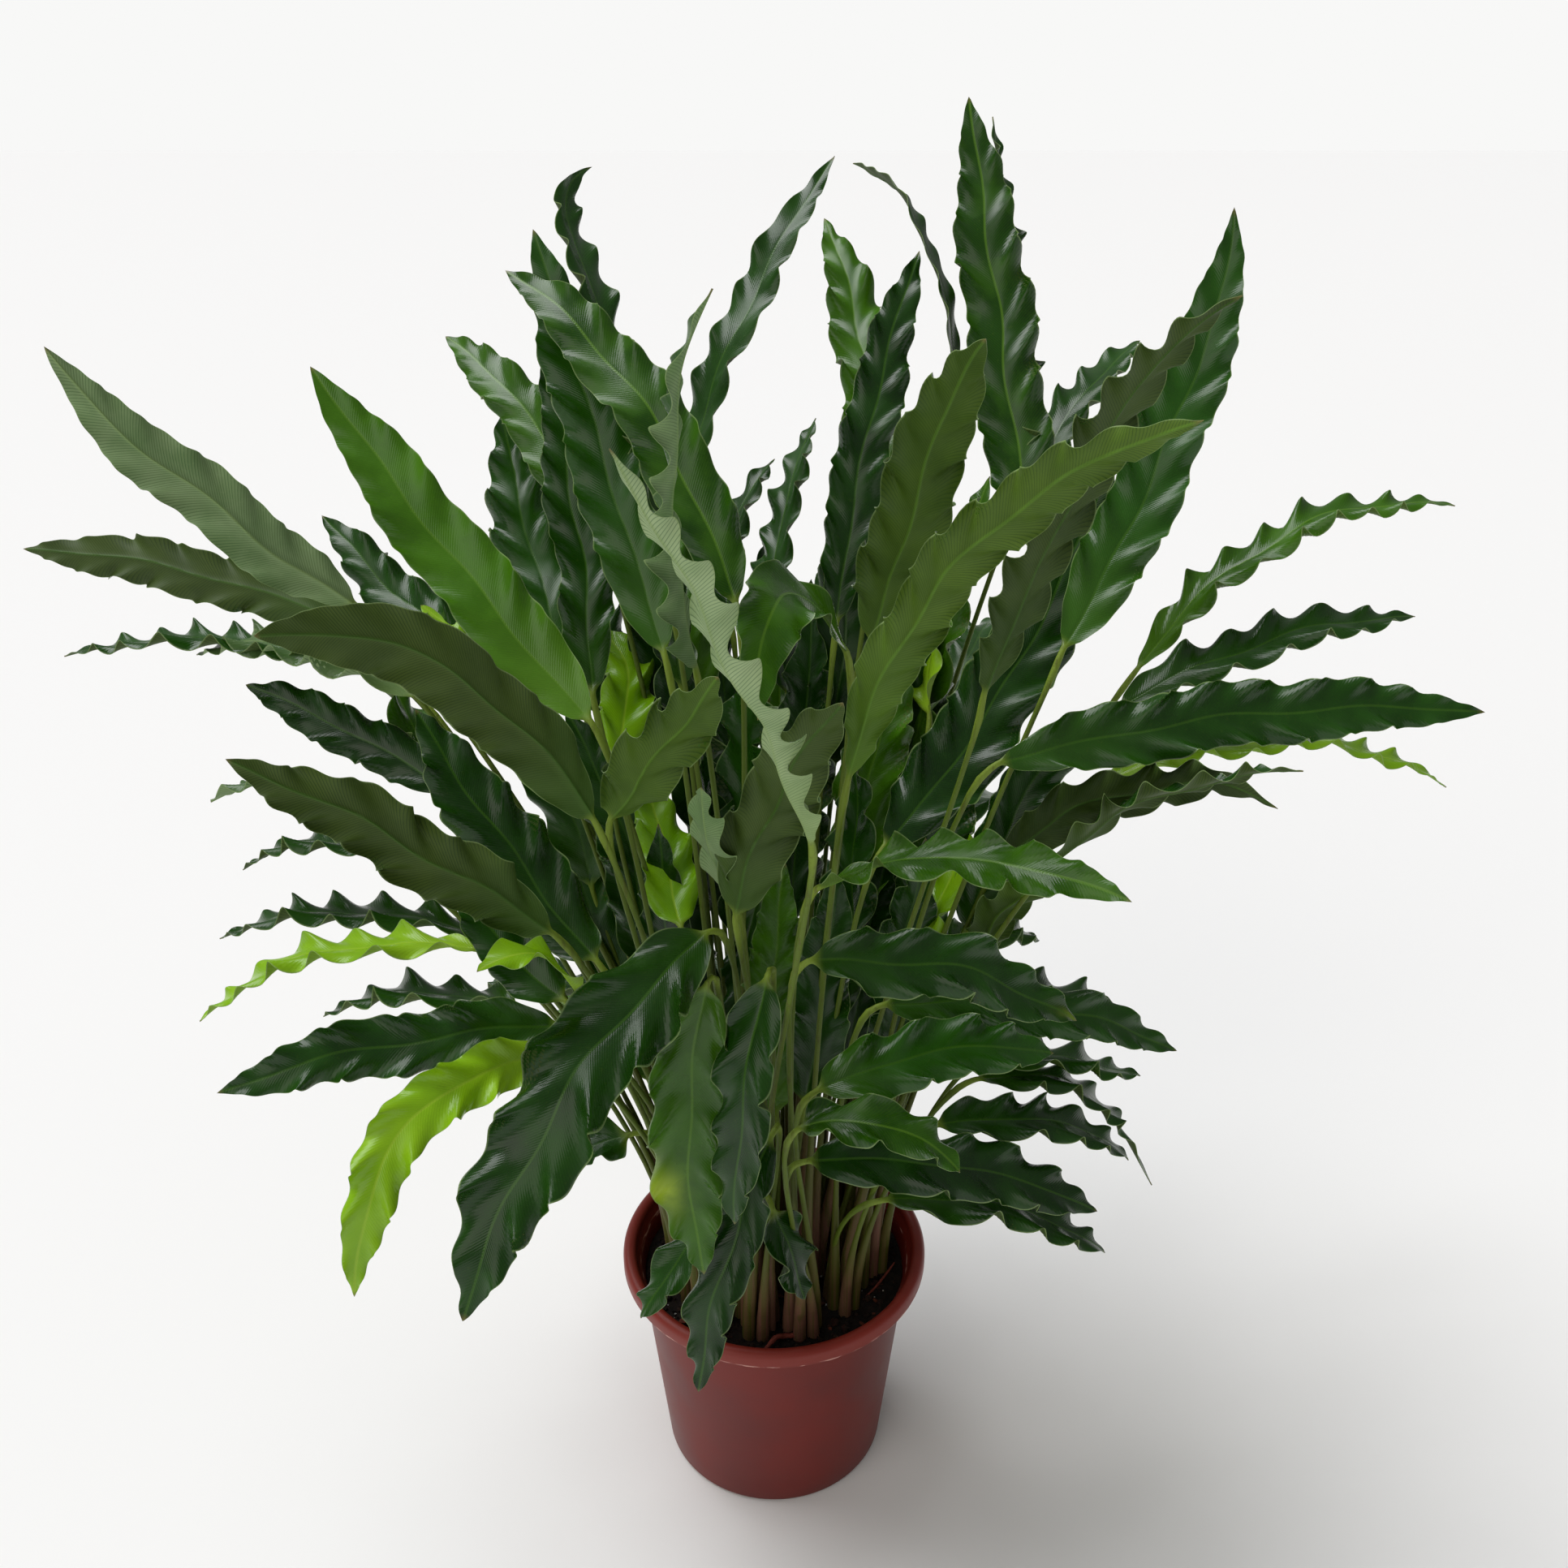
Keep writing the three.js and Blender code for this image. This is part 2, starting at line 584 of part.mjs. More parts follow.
// The solid of a leaf, after the least move that keeps it clear of all that is placed. The pieces
// that were in the way most often are tried first.
function settle(leaf, placed) {
  for (const move of MOVES) {
    const shape = leafSections(leaf, move);
    const reach = leafSolid(shape, LEAF_GAP);
    const box = boxOf(reach);
    const near = placed.filter((other) => other.box.intersectsBox(box)).sort((a, b) => b.hits - a.hits);
    const hit = near.find((other) => !reach.intersect(other.solid).isEmpty());
    if (!hit) return leafSolid(shape);
    hit.hits += 1;
  }
  throw new Error("no clear place for the leaf that starts at " + leaf.at);
}

// ---------------------------------------------------------------- the potted plant

const shoots = SHOOTS.map((shoot) => {
  const bearing = THREE.MathUtils.degToRad(shoot.bearing);
  return {
    leaves: shoot.leaves.map((leaf) => ({ ...leaf })),
    centre: new THREE.Vector2(Math.cos(bearing), Math.sin(bearing)).multiplyScalar(shoot.reach),
    ground: tuftRadius(shoot.leaves.length) + footPitch / 2,
  };
});
spreadShoots(shoots);
shoots.forEach(plantShoot);
const leaves = shoots.flatMap((shoot) => shoot.leaves);

const group = new THREE.Group();
const placed = [];
function addNode(name, solid, material) {
  const mesh = new THREE.Mesh(geometryOf(solid), material);
  mesh.name = name;
  group.add(mesh);
  placed.push({ solid, box: boxOf(solid), hits: 0 });
}

addNode("pot", makePot(), surface(POT_COLOUR, POT_ROUGHNESS));
addNode("soil", makeSoil(leaves.map((leaf) => leaf.foot)), surface(SOIL_COLOUR, SOIL_ROUGHNESS));
leaves.forEach((leaf, i) => {
  const name = `leaf_${String(i + 1).padStart(2, "0")}`;
  addNode(name, settle(leaf, placed), surface(LEAF_COLOURS[leaf.tone], LEAF_ROUGHNESS));
});

export default group;
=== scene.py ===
# %% [markdown]
# # A potted calathea
#
# The plant is a rufibarba-type calathea: a clump of upright stalks, each carrying one long narrow
# blade with ruffled edges, in a round plastic nursery pot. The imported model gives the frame: the
# pot, the soil, and one plain closed solid for each of the larger leaves. Everything here is built
# around those solids, in metres, with +Z up and the origin under the middle of the pot.

# %% Load the frame
import json
import math

import bpy
import numpy as np
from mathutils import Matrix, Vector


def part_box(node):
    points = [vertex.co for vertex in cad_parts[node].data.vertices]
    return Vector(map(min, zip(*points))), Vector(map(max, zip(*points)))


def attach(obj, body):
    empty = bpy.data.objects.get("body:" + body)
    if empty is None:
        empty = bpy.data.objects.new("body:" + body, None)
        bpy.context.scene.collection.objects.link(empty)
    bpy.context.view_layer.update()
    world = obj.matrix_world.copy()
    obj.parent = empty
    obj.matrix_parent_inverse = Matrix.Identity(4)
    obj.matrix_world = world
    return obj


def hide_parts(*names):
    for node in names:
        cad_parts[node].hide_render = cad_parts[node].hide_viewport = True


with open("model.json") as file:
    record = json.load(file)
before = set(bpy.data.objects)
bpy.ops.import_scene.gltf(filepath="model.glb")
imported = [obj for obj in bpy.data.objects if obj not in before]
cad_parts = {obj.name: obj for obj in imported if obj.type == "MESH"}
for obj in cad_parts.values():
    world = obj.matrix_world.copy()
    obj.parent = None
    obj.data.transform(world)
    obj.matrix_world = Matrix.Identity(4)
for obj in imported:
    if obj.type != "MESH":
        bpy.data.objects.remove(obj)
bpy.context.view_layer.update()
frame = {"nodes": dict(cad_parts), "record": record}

MM = 0.001
leaf_names = sorted(name for name in frame["nodes"] if name.startswith("leaf_"))
slot_of = {part["node"]: part["material_slot"] for part in frame["record"]["subparts"]}
print("leaves in the frame:", len(leaf_names))

# %% [markdown]
# ## Helpers
#
# Every surface here is a grid of points: rows go along the piece and columns go round it. A closed
# grid is turned into faces by index arithmetic on whole arrays, and its two ends are capped. What a
# material needs, such as the distance from the midrib, is stored on the points.

# %% A grid of points becomes a closed mesh
def tube_faces(rows, columns):
    """Quads of a tube: row i, column j joins to row i + 1 and column j + 1, columns wrapping round."""
    corner = np.arange(rows * columns).reshape(rows, columns)
    right = np.roll(corner, -1, axis=1)
    quads = np.stack([corner[:-1], right[:-1], right[1:], corner[1:]], axis=-1)
    return quads.reshape(-1, 4)


def mesh_from(name, points, quads, caps, attributes=None):
    """A smooth-shaded mesh from arrays. Caps are lists of corners, one flat face each.

    Its faces are turned outwards: the volume under the faces, the sum over them of
    corner . (edge x edge) / 6, is positive when they all point out."""
    mesh = bpy.data.meshes.new(name)
    faces = [*quads.tolist(), *[list(map(int, cap)) for cap in caps]]
    mesh.from_pydata(points, [], faces)
    volume = 0.0
    for cap in faces[len(quads):]:
        a, b, c = points[cap[0]], points[cap[1:-1]], points[cap[2:]]
        volume += np.einsum("j,ij->", a, np.cross(b, c))
    for first, second in ((1, 2), (2, 3)):
        a, b, c = points[quads[:, 0]], points[quads[:, first]], points[quads[:, second]]
        volume += np.einsum("ij,ij->", a, np.cross(b, c))
    if volume < 0:
        mesh.flip_normals()
    for key, values in (attributes or {}).items():
        layer = mesh.attributes.new(key, "FLOAT", "POINT")
        layer.data.foreach_set("value", np.ascontiguousarray(values, dtype=np.float32).ravel())
    mesh.shade_smooth()
    mesh.update()
    return mesh


def placed(name, data):
    """An object of a mesh, lamp or camera, linked into the scene."""
    thing = bpy.data.objects.new(name, data)
    bpy.context.scene.collection.objects.link(thing)
    return thing


def show(mesh, material):
    """Puts a mesh into the scene as a piece of the plant that rides on the one body."""
    piece = placed(mesh.name, mesh)
    mesh.materials.append(material)
    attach(piece, "root")
    return piece


# %% Vectors and smooth curves
def unit(vectors):
    """Each vector divided by its length."""
    return vectors / np.maximum(np.linalg.norm(vectors, axis=-1, keepdims=True), 1e-12)


def smooth(knots, values, at):
    """A cubic through the values: between two knots it follows h00 p0 + h10 m0 + h01 p1 + h11 m1,
    where m is the slope that np.gradient gives at each knot."""
    slopes = np.gradient(values, knots, axis=0)
    i = np.clip(np.searchsorted(knots, at, side="right") - 1, 0, len(knots) - 2)
    span = (knots[i + 1] - knots[i])[:, None]
    t = (at - knots[i])[:, None] / span
    first = (2 * t**3 - 3 * t**2 + 1) * values[i] + (t**3 - 2 * t**2 + t) * span * slopes[i]
    second = (3 * t**2 - 2 * t**3) * values[i + 1] + (t**3 - t**2) * span * slopes[i + 1]
    return first + second


def ease(x):
    """0 below 0, 1 above 1, and 3x^2 - 2x^3 between."""
    x = np.clip(x, 0, 1)
    return x * x * (3 - 2 * x)


# %% [markdown]
# ## Leaf, first step: read the spine
#
# A leaf of this plant is one grown piece. A sheath rises from the soil and narrows to a petiole,
# which bends through a swollen joint into the blade. The frame holds a plain six-sided version of
# each leaf. Its rings are found by walking out from the lowest ring along the edges: every step
# reaches the next ring. From each ring come the middle, the half width and the direction that the
# blade faces, and those are the bones for a much finer leaf.

# %% Rings of a plain leaf
RING_CORNERS = 6
STALK_RINGS = 8  # from the foot in the soil to the joint under the blade
UNREACHED = 1000


def rings_of(node):
    """The leaf's points, ring by ring from the foot: an array of rings x 6 x 3, and the tip."""
    mesh = frame["nodes"][node].data
    points = np.empty(len(mesh.vertices) * 3, dtype=np.float32)
    mesh.vertices.foreach_get("co", points)
    edges = np.empty(len(mesh.edges) * 2, dtype=np.int32)
    mesh.edges.foreach_get("vertices", edges)
    rounded = np.round(points.reshape(-1, 3).astype(float) / (0.01 * MM)).astype(int)
    merged, index = np.unique(rounded, axis=0, return_inverse=True)
    merged = merged * 0.01 * MM
    edges = index.ravel()[edges].reshape(-1, 2)
    steps = np.full(len(merged), UNREACHED)
    steps[np.argsort(merged[:, 2])[:RING_CORNERS]] = 0
    for _ in range(len(merged) // RING_CORNERS):
        np.minimum.at(steps, edges[:, 0], steps[edges[:, 1]] + 1)
        np.minimum.at(steps, edges[:, 1], steps[edges[:, 0]] + 1)
    last = steps.max()
    rings = np.stack([merged[steps == k] for k in range(last)])
    return rings, merged[steps == last][0]


def bones_of(node):
    """Middle, facing direction and half width at each ring, with the tip as the last one.

    A blade ring is longest along its width. Its middle is the mean of the two corners in the
    middle of that width, and it faces the way in which its edges are raised."""
    rings, tip = rings_of(node)
    blade = rings[STALK_RINGS:]
    centred = blade - blade.mean(axis=1, keepdims=True)
    across = np.linalg.svd(centred)[2][:, 0]
    reach = np.einsum("rci,ri->rc", centred, across)
    order = np.argsort(reach, axis=1)
    pick = lambda columns: np.take_along_axis(blade, order[:, columns, None], axis=1)
    middle = pick([2, 3]).mean(axis=1)
    raised = pick([0, 1, 4, 5]).mean(axis=1) - middle
    half = np.ptp(reach, axis=1) / 2
    centres = np.vstack([rings[:STALK_RINGS].mean(axis=1), middle, tip])
    way = unit(np.gradient(centres, axis=0))
    face = unit(np.cross(across, way[STALK_RINGS:-1]))
    face *= np.sign(np.einsum("ri,ri->r", face, raised))[:, None]
    stalk = [face[0]]
    for k in range(STALK_RINGS - 1, -1, -1):
        stalk.insert(0, unit(stalk[0] - way[k] * (stalk[0] @ way[k])))
    faces = np.vstack([stalk[:-1], face, face[-1]])
    return {"centres": centres, "faces": faces, "half": half.max()}


bones = {name: bones_of(name) for name in leaf_names}
widths = [2000 * b["half"] for b in bones.values()]
print("blades are %.0f to %.0f mm wide" % (min(widths), max(widths)))

# %% [markdown]
# ## Leaf, second step: the shape
#
# The blade is a narrow gutter with a groove along the top of the midrib and a keel under it. Its
# ruffled edges come from a margin that grew longer than the midrib: the spare length folds into
# waves that are high at the edge and fade towards the midrib, and whose ridges lean forward. The
# wave used here is a trochoid, the curve of a steep water wave. It moves points along the leaf as
# well as up, so its crests are pointed and its troughs are broad, as on the living leaf.
#
# One loop of points is carried from the foot to the tip. On the stalk the loop is a circle, and on
# the blade the same loop is the thin cross-section of the blade.

# %% Columns of the loop
half_columns = np.array([0, 0.05, 0.12, 0.24, 0.37, 0.5, 0.63, 0.75, 0.86, 0.94, 1])
ACROSS = np.concatenate([-half_columns[:0:-1], half_columns])  # -1 and 1 are the two edges
LOOP_ACROSS = np.concatenate([ACROSS, ACROSS[::-1]])
LOOP_UPPER = np.repeat([1.0, 0.0], len(ACROSS))
CIRCLE_MARGIN = 1 - 1 / len(ACROSS)  # keeps the two edge points of a stalk's circle apart
print("points round a leaf:", len(LOOP_ACROSS))

# %% Sizes of a leaf
BLADE_ROWS = 150
STALK_ROWS = 20
BLADE_THICKNESS = 0.55 * MM
EDGE_THICKNESS = 0.3 * MM
KEEL_HEIGHT, KEEL_WIDTH = 1.5 * MM, 1.5 * MM
GROOVE_DEPTH, GROOVE_WIDTH = 0.35 * MM, 0.9 * MM
SHEATH_RADIUS = 4.6 * MM
PETIOLE_RADIUS = 1.6 * MM
JOINT_RADIUS = 2.2 * MM
JOINT_LENGTH = 26 * MM
FLATTENING = 9 * MM  # over which the round stalk becomes the flat blade

# %% The ruffled margin
CREST_SPACING = 27 * MM  # on a blade 20 mm wide, and more on a wider one
BROAD_HALF = 20 * MM
SLANT = 1.15  # how far a ridge runs forward for each unit that it runs outwards
FOLD_POWER = 1.4
WAVE_POWER = 1.9  # how fast a wave fades towards the midrib
CREST_SHIFT = 0.4  # of a wave's height, along the leaf
EDGE_DRAW = 0.3  # and towards the midrib
UNEVEN = 0.3
RIPPLE = 0.1  # a finer wave between the midrib and the edge
HOOK_START, HOOK_LENGTH = 0.8, 0.2  # shares of the blade
LEAN_POWER = 1.4
PATCH_SIZE = (0.07, 0.5)  # shares of the length and of the half width


def outline(s):
    """Half width of a blade as a share of its widest: sin rises over the base, cos falls to the
    tip, sin(pi/2 min(s/0.26, 1))^0.7 * cos(pi/2 ((s - 0.4)/0.6)^1.6)^0.9."""
    base = np.sin(np.pi / 2 * np.clip(s / 0.26, 0, 1)) ** 0.7
    tip = np.cos(np.pi / 2 * np.clip((s - 0.4) / 0.6, 0, 1) ** 1.6) ** 0.9
    return base * tip


STRAIGHT = (0, 0, 0)
NO_PATCH = (-1, 0)  # a place off the blade, for a leaf with no yellowed patch


def leaf_surface(bone, seed, waves=0.36, fold=0.16, roll=0, slim=1, hook=STRAIGHT, lean=STRAIGHT,
                 tint=None, patch=NO_PATCH, rows=BLADE_ROWS):
    """Points and attributes of a leaf.

    With s along the blade, v across it, w the half width and L the length, a point is
    middle + side (w v + out) + face (fold w |v|^1.4 + h cos p + ripple) - way (0.4 h sin p).
    Here h = waves w |v|^1.9 is the height of a wave, out is 0.3 h cos^2 p towards the midrib, and
    the phase p is 2 pi (s L - slant w |v|) / spacing + start.

    Roll turns the blade about its midrib, in degrees, and slim narrows it. Hook bends the last
    fifth of the blade and lean the whole of it, in millimetres at the tip. Tint is 0 for a dark
    leaf and 1 for a fresh one, and on leaf_11 and leaf_30 it also paints light as lighter green.
    Patch is the place of a yellowed patch."""
    rng = np.random.default_rng(seed)
    waves = waves * rng.uniform(0.8, 1.15)
    tint = rng.uniform(0, 1) if tint is None else tint
    centres, faces = bone["centres"], bone["faces"]
    length = np.concatenate([[0], np.cumsum(np.linalg.norm(np.diff(centres, axis=0), axis=1))])
    joint, total = length[STALK_RINGS - 1], length[-1]
    blade_length = total - joint
    s = np.linspace(0, 1, rows) ** 0.97
    stalk_at = joint * (1 - (1 - np.linspace(0, 1, STALK_ROWS, endpoint=False)) ** 1.5)
    at = np.concatenate([stalk_at, joint + blade_length * s])
    s = (at - joint) / blade_length

    middle = smooth(length, centres, at)
    way = unit(np.gradient(middle, at, axis=0))
    face = smooth(length, faces, at)
    face = unit(face - way * np.einsum("ri,ri->r", face, way)[:, None])
    side = np.cross(way, face)
    turn = math.radians(roll)
    face, side = face * math.cos(turn) + side * math.sin(turn), side * math.cos(turn) - face * math.sin(turn)

    # The blade sways a little about its chord, and it may lean or hook over.
    on_blade = np.clip(s, 0, 1)
    sway = rng.uniform(1.2, 2.6) * MM * np.sin(np.pi * on_blade)
    turns = blade_length / (3.4 * CREST_SPACING)
    start = rng.uniform(0, 2 * np.pi, 4)
    middle = middle + side * (sway * np.sin(2 * np.pi * turns * on_blade + start[0]))[:, None]
    middle = middle + face * (sway * np.sin(2 * np.pi * turns * on_blade + start[1]))[:, None]
    bend = np.clip((on_blade - HOOK_START) / HOOK_LENGTH, 0, 1) ** 2
    middle = middle + bend[:, None] * np.array(hook) * MM
    middle = middle + on_blade[:, None] ** LEAN_POWER * np.array(lean) * MM

    # Half width, and the blend from the round stalk to the flat blade.
    width = slim * bone["half"] * outline(on_blade)
    flat = ease((at - joint) / FLATTENING)
    narrowing = ease(at / (0.5 * joint))
    swollen = np.exp(-(((at - joint + 0.5 * JOINT_LENGTH) / (0.42 * JOINT_LENGTH)) ** 2))
    radius = SHEATH_RADIUS + (PETIOLE_RADIUS - SHEATH_RADIUS) * narrowing
    radius = radius + (JOINT_RADIUS - PETIOLE_RADIUS) * swollen

    v = LOOP_ACROSS[None, :]
    upper = LOOP_UPPER[None, :]
    sign = 2 * upper - 1
    reach = np.abs(v)
    w = width[:, None]
    along = at[:, None] - joint - SLANT * w * reach

    # The two margins have their own rhythm.
    drift = 0.6 * np.sin(2 * np.pi * along / blade_length * 1.7 + start[2])
    spacing = CREST_SPACING * (0.75 + 0.5 * bone["half"] / BROAD_HALF)
    right_phase = 2 * np.pi * along / (spacing * rng.uniform(0.9, 1.1)) + start[0] + drift
    left_phase = 2 * np.pi * along / (spacing * rng.uniform(0.9, 1.1)) + start[3] - drift
    phase = np.where(v > 0, right_phase, left_phase)
    uneven = 1 + UNEVEN * np.sin(2 * np.pi * along / (2.7 * CREST_SPACING) + start[1])
    height = waves * w * uneven * reach**WAVE_POWER * ease(on_blade / 0.12)[:, None]
    ripple = RIPPLE * waves * w * np.sin(2 * phase + 1) * reach**0.8 * (1 - reach)
    lift = fold * w * reach**FOLD_POWER + height * np.cos(phase) + ripple
    shift = -CREST_SHIFT * height * np.sin(phase)
    out = -np.sign(v) * EDGE_DRAW * height * np.cos(phase) ** 2

    skin = BLADE_THICKNESS + (EDGE_THICKNESS - BLADE_THICKNESS) * reach**2
    thinning = (1 - 0.75 * on_blade)[:, None]
    rib = KEEL_HEIGHT * thinning * np.exp(-((w * v / (KEEL_WIDTH * thinning)) ** 2))
    groove = GROOVE_DEPTH * thinning * np.exp(-((w * v / GROOVE_WIDTH) ** 2))
    rim = sign * skin / 2 - np.where(upper > 0, groove, rib)

    angle = v * CIRCLE_MARGIN * np.pi / 2
    ring_side = radius[:, None] * np.sin(angle)
    ring_face = sign * radius[:, None] * np.cos(angle)
    f = flat[:, None]
    x = (1 - f) * ring_side + f * (w * v + out)
    z = (1 - f) * ring_face + f * (lift + rim)
    points = middle[:, None] + side[:, None] * x[..., None] + face[:, None] * z[..., None]
    points = points + way[:, None] * (f * shift)[..., None]

    from_patch = (on_blade[:, None] - patch[0]) / PATCH_SIZE[0]
    yellow = np.exp(-(from_patch**2) - ((v - patch[1]) / PATCH_SIZE[1]) ** 2)
    values = {
        "across": reach * f,
        "span": w * reach * f,
        "vein": along + 0.2 * w * reach**2,
        "upper": upper,
        "blade": f,
        "along": on_blade[:, None],
        "rise": np.clip(at / joint, 0, 1)[:, None],
        "tint": tint,
        "yellow": yellow,
    }
    return points, {key: np.broadcast_to(value, x.shape) for key, value in values.items()}


LEAF_SHARP = 65  # degrees


def leaves_mesh(name, surfaces):
    """One mesh from the surfaces of one leaf or more, each capped at foot and tip."""
    points, quads, caps, start = [], [], [], 0
    names = surfaces[0][1]
    for grid, _ in surfaces:
        rows, columns = grid.shape[:2]
        points.append(grid.reshape(-1, 3))
        quads.append(tube_faces(rows, columns) + start)
        caps += [start + np.arange(columns)[::-1], start + np.arange(columns) + (rows - 1) * columns]
        start += rows * columns
    attributes = {key: np.concatenate([values[key].ravel() for _, values in surfaces]) for key in names}
    mesh = mesh_from(name, np.vstack(points), np.vstack(quads), caps, attributes)
    mesh.set_sharp_from_angle(angle=math.radians(LEAF_SHARP))
    return mesh


# %% [markdown]
# ## Colour
#
# Colours are written as they look on a screen, as sRGB hex, and one function turns them into the
# linear light that the shaders work in. One small function adds a shader node.

# %% Linear colours and nodes
def linear(colour):
    """(c + 0.055 over 1.055) to the power 2.4 above 0.04045, and c over 12.92 below it."""
    channels = np.array([int(colour[i : i + 2], 16) / 255 for i in (1, 3, 5)])
    light = np.where(channels > 0.04045, ((channels + 0.055) / 1.055) ** 2.4, channels / 12.92)
    return (*light.tolist(), 1.0)


def put(tree, kind, inputs=None, **settings):
    """Adds a node. Settings are its own properties, and inputs are values, or sockets to link."""
    made = tree.nodes.new("ShaderNode" + kind)
    for name, value in settings.items():
        setattr(made, name, value)
    for key, value in (inputs or {}).items():
        if isinstance(value, bpy.types.NodeSocket):
            tree.links.new(value, made.inputs[key])
        else:
            made.inputs[key].default_value = value
    return made


def new_material(name):
    """An empty material with its output node."""
    material = bpy.data.materials.new(name)
    material.use_nodes = True
    material.node_tree.nodes.clear()
    return material, material.node_tree, put(material.node_tree, "OutputMaterial")


def mixed(tree, factor, first, second):
    """A colour that is the first where the factor is 0 and the second where it is 1."""
    inputs = {0: factor, 6: first, 7: second}
    return put(tree, "Mix", inputs, data_type="RGBA").outputs[2]


def ramp(tree, value, low, high, to_low=0.0, to_high=1.0):
    """The value between low and high, spread smoothly over to_low and to_high."""
    inputs = {"Value": value, "From Min": low, "From Max": high, "To Min": to_low, "To Max": to_high}
    return put(tree, "MapRange", inputs, interpolation_type="SMOOTHSTEP").outputs[0]


def math_node(tree, operation, *values):
    """One arithmetic step on values or sockets."""
    return put(tree, "Math", dict(enumerate(values)), operation=operation).outputs[0]


def times(tree, first, second):
    """The product of two values or sockets."""
    return math_node(tree, "MULTIPLY", first, second)


def plus(tree, first, second):
    """The sum of two values or sockets."""
    return math_node(tree, "ADD", first, second)


def noise(tree, place, scale, detail):
    """Cloudy noise between 0 and 1, with about `scale` clouds to the metre."""
    inputs = {"Vector": place, "Scale": scale, "Detail": detail}
    return put(tree, "TexNoise", inputs).outputs["Fac"]


def bumps(tree, relief, strength, height):
    """A surface direction tilted by a relief of this height, in metres."""
    inputs = {"Height": relief, "Strength": strength, "Distance": height}
    return put(tree, "Bump", inputs).outputs[0]


def surface_of(tree, output, inputs):
    """A principled shader with these inputs, linked to the output node."""
    shader = put(tree, "BsdfPrincipled", inputs)
    tree.links.new(shader.outputs[0], output.inputs["Surface"])


# %% [markdown]
# ## Leaf skin
#
# A mature blade is dark green with a waxy gloss on top, because a smooth cuticle covers it, and
# matte olive below, where fine hairs scatter the light. Its side veins run forward from the midrib
# about 1.8 mm apart: they are faint furrows on top and clear lines below. The midrib is lighter,
# and so is a hair-thin margin, partly its own paler green and partly a painted highlight where
# light catches the rim. The very tip is dry and brown. A fresher leaf is paler towards its base,
# and an ageing one may have a yellow patch. The pale look is an older, greyer leaf whose light
# grey-green is partly a painted sheen of the sky. On two leaves a high tint also paints light as
# lighter green: sheen of the sky on one, and light shining through the blade on the other. The
# stalk is olive with lengthwise streaks, yellow-green at the swollen joint and pinkish brown at
# the soil. A young leaf is lime green all over, because it has little chlorophyll yet.

# %% Leaf colours and finish
VEIN_SPACING = 1.8 * MM
VEIN_RELIEF = 0.12 * MM
LEAF_LOOKS = {
    "leaf_mature": dict(upper="#0c2c02", bright="#24520a", under="#2c400f", back="#475c1c", rib="#3c6416"),
    "leaf_fresh": dict(upper="#193f02", bright="#46780a", under="#38520e", back="#57741c", rib="#5e8824"),
    "leaf_young": dict(upper="#659804", bright="#8cba16", under="#6f9816", back="#86ac22", rib="#9ec034"),
    # Painted sheen, in part: the pale look is an older, greyer leaf, and its light grey-green, most of all
    # below, also stands for skylight glancing off it.
    "leaf_pale": dict(upper="#34582a", bright="#5c7844", under="#5f8048", back="#9db183", rib="#7f9858"),
}
# The margin colour is the margin's own paler green together with a painted highlight along its rim.
MARGIN_AND_HIGHLIGHT_COLOUR, YELLOWED, DRY_TIP = "#8fa86a", "#a3bd2c", "#6e6236"
STALK_LOOK = dict(base="#7a5344", low="#4f5218", high="#576c18", joint="#748a28")


